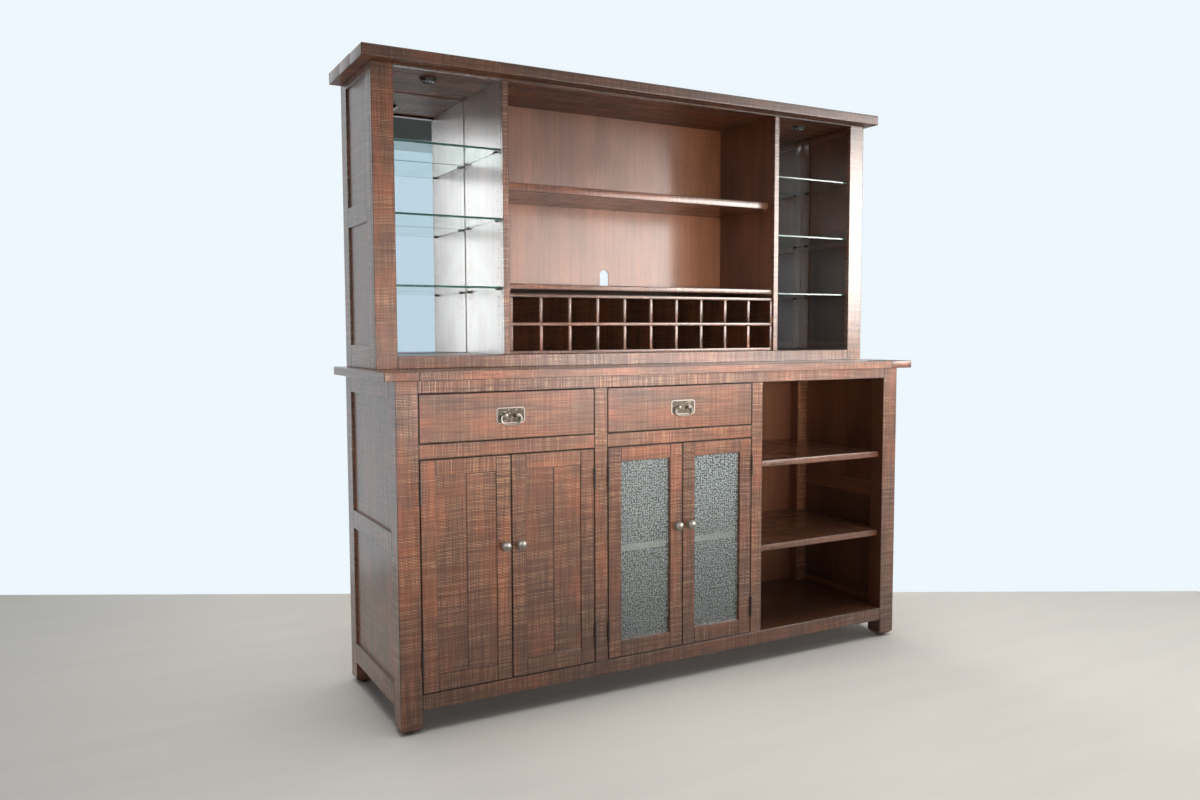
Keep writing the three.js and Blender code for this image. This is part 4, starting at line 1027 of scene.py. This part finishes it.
# The screws that hold the two back panels, along their edges and into the upright boards in front of them
mesh = bmesh.new()
for name, upright in (("hutch_back_panel", (middleX + dividerX) / 2),
                      ("base_back_panel", sum(nodeBox("base_partition_right")[:2]) / 2)):
    x0, x1, _, y, z0, z1 = nodeBox(name)
    left, right, low, high = x0 + screw.inset, x1 - screw.inset, z0 + screw.inset, z1 - screw.inset
    rows, columns = (round(reach / screw.pitch) for reach in (high - low, right - left))
    spots = [(x, low + (high - low) * i / rows) for x in (left, -upright, upright, right) for i in range(rows + 1)]
    between = [left + (right - left) * i / columns for i in range(1, columns)]
    spots += [(x, z) for z in (low, high) for x in between if abs(abs(x) - upright) > screw.pitch / 3]
    for x, z in spots:
        turned(mesh, screw.head, facing(x, y - screw.sunk, z, -1), 14)
finishMetal(mesh, "back_panel_screws", [blackMetal])

# Shelf clips, lights and glides: small parts that are one node with the board that carries them
clip = Values(width=0.009, height=0.004, reach=0.0126, tab=0.0011, gap=0.0001)
mesh = bmesh.new()
for side, word in sides:
    for level in ("upper", "middle", "lower"):
        *_, z0, z1 = nodeBox(f"glass_shelf_{word}_{level}")
        top = z0 - seat
        for wallX, direction in ((side * hutchInnerX, -side), (side * dividerX, side)):
            for y in pinYs:
                near, y0, y1 = wallX + direction * clip.gap, y - clip.width / 2, y + clip.width / 2
                softBlock(mesh, near, wallX + direction * clip.reach, y0, y1, top - clip.height, top, ease=0.0009)
                softBlock(mesh, near, near + direction * clip.tab, y0, y1, top - 0.001, z1 + 0.001, ease=0.0003)
finishMetal(mesh, "glass_shelf_clips", [blackMetal])

puck = Values(
    fromFront=0.135, bulbRing=0.008,
    rim=[(0.0, 0.0), (0.0288, 0.0), (0.0290, 0.0004), (0.0290, 0.0030), (0.0278, 0.0040), (0.0246, 0.0042),
         (0.0240, 0.0048), (0.0240, 0.0100), (0.0232, 0.0108), (0.0205, 0.0108), (0.0200, 0.0104)],
    cone=[(0.0200, 0.0104), (0.0150, 0.0068), (0.0080, 0.0060), (0.0, 0.0060)],
    bulb=[(0.0034, 0.0058), (0.0032, 0.0072), (0.0022, 0.0084), (0.0, 0.0090)])
for side, word in sides:
    mesh = bmesh.new()
    axis = facing(side * (dividerX + hutchInnerX) / 2, hutchFrontY + puck.fromFront, ceiling - seat, 2)
    turned(mesh, puck.rim, axis, 48, 0)
    turned(mesh, puck.cone, axis, 48, 1)
    for turn in (math.radians(degrees) for degrees in (0, 120, 240)):
        shift = Matrix.Translation((puck.bulbRing * math.cos(turn), puck.bulbRing * math.sin(turn), 0))
        turned(mesh, puck.bulb, axis @ shift, 20, 1)
    finishMetal(mesh, f"puck_light_{word}_housing", [blackMetal, reflector],
                nodes=(f"puck_light_{word}",))

glide = [(0.0, 0.0), (0.0142, 0.0), (0.016, 0.0016), (0.016, 0.0079), (0.0, 0.0079)]
mesh = bmesh.new()
for side in (-1, 1):
    for y in (frontY + base.legDepth / 2, backY - base.legDepth / 2):
        turned(mesh, glide, Matrix.Translation((side * (endX - base.legWidth / 2), y, 0)), 32)
finishMetal(mesh, "leg_glides", [darkPlastic])

for name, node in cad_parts.items():
    if name.endswith("bail") or "hinge" in name:
        node.data.materials.clear()
        node.data.materials.append(agedMetal if name.endswith("bail") else blackMetal)
print("metalwork built")


# Floor, backdrop, light and camera

view = Values(place=(-1.8662, -3.0533, 1.2283), turn=28.896, down=3.996, roll=-0.183, lens=28.797)
room = Values(wall=tint(237, 247, 253), far=tint(130, 134, 138), card=tint(202, 222, 235), wallAway=4.47,
              wallHalf=9, wallHeight=4.0, size=14.0, floorFades=(3.0, 4.4), floorPales=(-2.4, 0.4),
              fill=(0.9, 0.95, 1.0), fillStrength=0.24)
eye = Vector(view.place)
turn, down = math.radians(view.turn), math.radians(view.down)
ahead = Vector((math.sin(turn), math.cos(turn), 0))
across = Vector((ahead.y, -ahead.x, 0)) * room.wallHalf


def sheet(name, corners, material, hidden=()):
    data = bpy.data.meshes.new(name)
    data.from_pydata(corners, [], [(0, 1, 2, 3)])
    data.materials.append(material)
    made = link(name, data)
    for ray in hidden:
        setattr(made, f"visible_{ray}", False)


g = Material("pale floor")
spot = g.spot()
cloud = g.noise(g.vector("MULTIPLY", spot, (1.0, 6.0, 1.0)), 1.4, 4.0)
# The floor is painted paler to the right and duller to the left, along x: a painted pool of light from the right and
# painted shade on the left.
pale = g.mix(cloud, tint(218, 214, 208), tint(230, 225, 217))
dull = g.mix(cloud, tint(180, 179, 175), tint(191, 189, 185))
lit = g.span(g.split(spot)["X"], *room.floorPales)
g.shade({"Base Color": g.mix(lit, dull, pale), "Roughness": 0.75, "Specular IOR Level": 0.15})
distance = g.add("VectorMath", {0: spot}, operation="LENGTH")["Value"]
g.show(g.covered(room.wall, g.span(distance, *room.floorFades)))
size = room.size
sheet("floor", [(-size, -size, 0), (size, -size, 0), (size, size, 0), (-size, size, 0)], g.material)

# The backdrop shows its front only, so that the back of the piece can be looked at through it
g = Material("pale backdrop")
g.shade({"Base Color": room.wall, "Roughness": 0.9})
g.show(g.mixShaders(g.add("NewGeometry")["Backfacing"], g.covered(room.wall), g.add("BsdfTransparent")[0]))
low = Vector((eye.x, eye.y, 0)) + ahead * room.wallAway
high = low + Vector((0, 0, room.wallHeight))
sheet("backdrop", [low - across, low + across, high + across, high - across], g.material, ("shadow",))


def addLamp(name, place, target, width, height, watts, colour, hidden):
    lamp = bpy.data.lights.new(name, "AREA")
    lamp.shape, lamp.size, lamp.size_y = "RECTANGLE", width, height
    lamp.energy, lamp.color = watts, colour
    made = link(name, lamp)
    made.location = place
    made.rotation_euler = (Vector(target) - Vector(place)).to_track_quat("-Z", "Y").to_euler()
    for ray in (hidden, "camera", "transmission"):
        setattr(made, f"visible_{ray}", False)
    return lamp


# Windows that only the finish reflects
for name, place, target, width, height, watts, colour in (
        ("window softbox", (4.3, -3.7, 2.1), (0.6, 0, 1.5), 2.2, 1.6, 285, (1.0, 0.985, 0.96)),
        ("right softbox", (2.2, -3.7, 1.7), (0.6, 0, 1.45), 1.8, 1.3, 76, (1.0, 0.98, 0.95)),
        ("low left softbox", (-0.32, -3.7, 0.83), (-0.5, 0, 1.0), 0.75, 0.6, 6, (1.0, 0.98, 0.95)),
        ("low middle softbox", (0.55, -3.7, 0.71), (0.1, 0, 1.0), 0.95, 0.42, 2.4, (1.0, 0.98, 0.95)),
        ("low right softbox", (1.6, -3.7, 0.83), (0.2, 0, 1.0), 1.1, 0.6, 9, (1.0, 0.98, 0.95)),
        ("side softbox", (-1.6, -2.0, 1.75), (-0.75, 0.285, 1.5), 0.36, 1.35, 22, (1.0, 0.995, 0.98))):
    addLamp(name, place, target, width, height, watts, colour, "diffuse")

# A soft beam that lights the middle of the front most, and plain light from above and behind
for name, place, target, width, height, watts, spread in (
        ("front light", (0.05, -3.5, 1.2), (0.05, 0, 1.16), 3.2, 0.3, 18.0, 38),
        ("overhead light", (2.0, -0.3, 5.2), (1.7, -0.3, 0), 11.0, 11.0, 260, 56),
        ("back light", (0.2, 4.4, 1.3), (0.1, 0, 1.15), 3.4, 1.5, 24, 44)):
    addLamp(name, place, target, width, height, watts, (1.0, 0.985, 0.965), "glossy").spread = math.radians(spread)

world = scene.world = bpy.data.worlds.new("soft daylight")
world.use_nodes = True
world.node_tree.nodes.clear()
g = Graph(world.node_tree)
fill = g.add("Background", {"Color": room.fill, "Strength": room.fillStrength})[0]
shown = g.add("Background", {"Color": room.wall, "Strength": 1.0})[0]
g.fill(g.tree.nodes.new("ShaderNodeOutputWorld"), {"Surface": g.mixShaders(g.seen(), fill, shown)})

# Cards that only reflections see: the far side of the room, its pale blue wall and its dark end, and flags that
# keep the softboxes off the outsides of the hutch
for name, colour, glowing, (x0, x1, y, z0, z1) in (
        ("room card", room.far, True, (-13.0, 13.0, -4.6, 0.0, 6.0)),
        ("pale card", room.card, True, (0.47, 1.1, -4.4, 0.9, 2.86)),
        ("dark card", tint(64, 68, 66), True, (0.3, 1.3, -4.4, 2.87, 3.6)),
        ("left flag", room.far, True, (-1.7, -1.045, -0.25, 1.13, 2.8)),
        ("right flag", room.far, True, (1.045, 1.8, -0.09, 1.13, 2.8)),
        ("dim card", (0.05, 0.05, 0.05), False, (2.98, 3.22, -3.1, 0.4, 3.4))):
    g = Material(name)
    if glowing:
        g.shade({"Base Color": (0.0, 0.0, 0.0), "Specular IOR Level": 0.0, "Emission Color": colour,
                 "Emission Strength": 1.0})
    else:
        g.shade({"Base Color": colour, "Roughness": 1.0})
    sheet(name.replace(" ", "_"), [(x0, y, z0), (x1, y, z0), (x1, y, z1), (x0, y, z1)], g.material,
          ("camera", "diffuse", "shadow"))

lens = bpy.data.cameras.new("camera")
lens.sensor_width, lens.lens, lens.sensor_fit = 36.0, view.lens, "HORIZONTAL"
lens.clip_start, lens.clip_end = 0.05, 60
camera = scene.camera = link("camera", lens)
camera.location = eye
look = Vector((math.sin(turn) * math.cos(down), math.cos(turn) * math.cos(down), -math.sin(down)))
camera.rotation_mode = "QUATERNION"
roll = Matrix.Rotation(math.radians(view.roll), 3, "Z").to_quaternion()
camera.rotation_quaternion = look.to_track_quat("-Z", "Y") @ roll
scene.view_settings.view_transform = "Standard"
print("stage, light and camera ready")
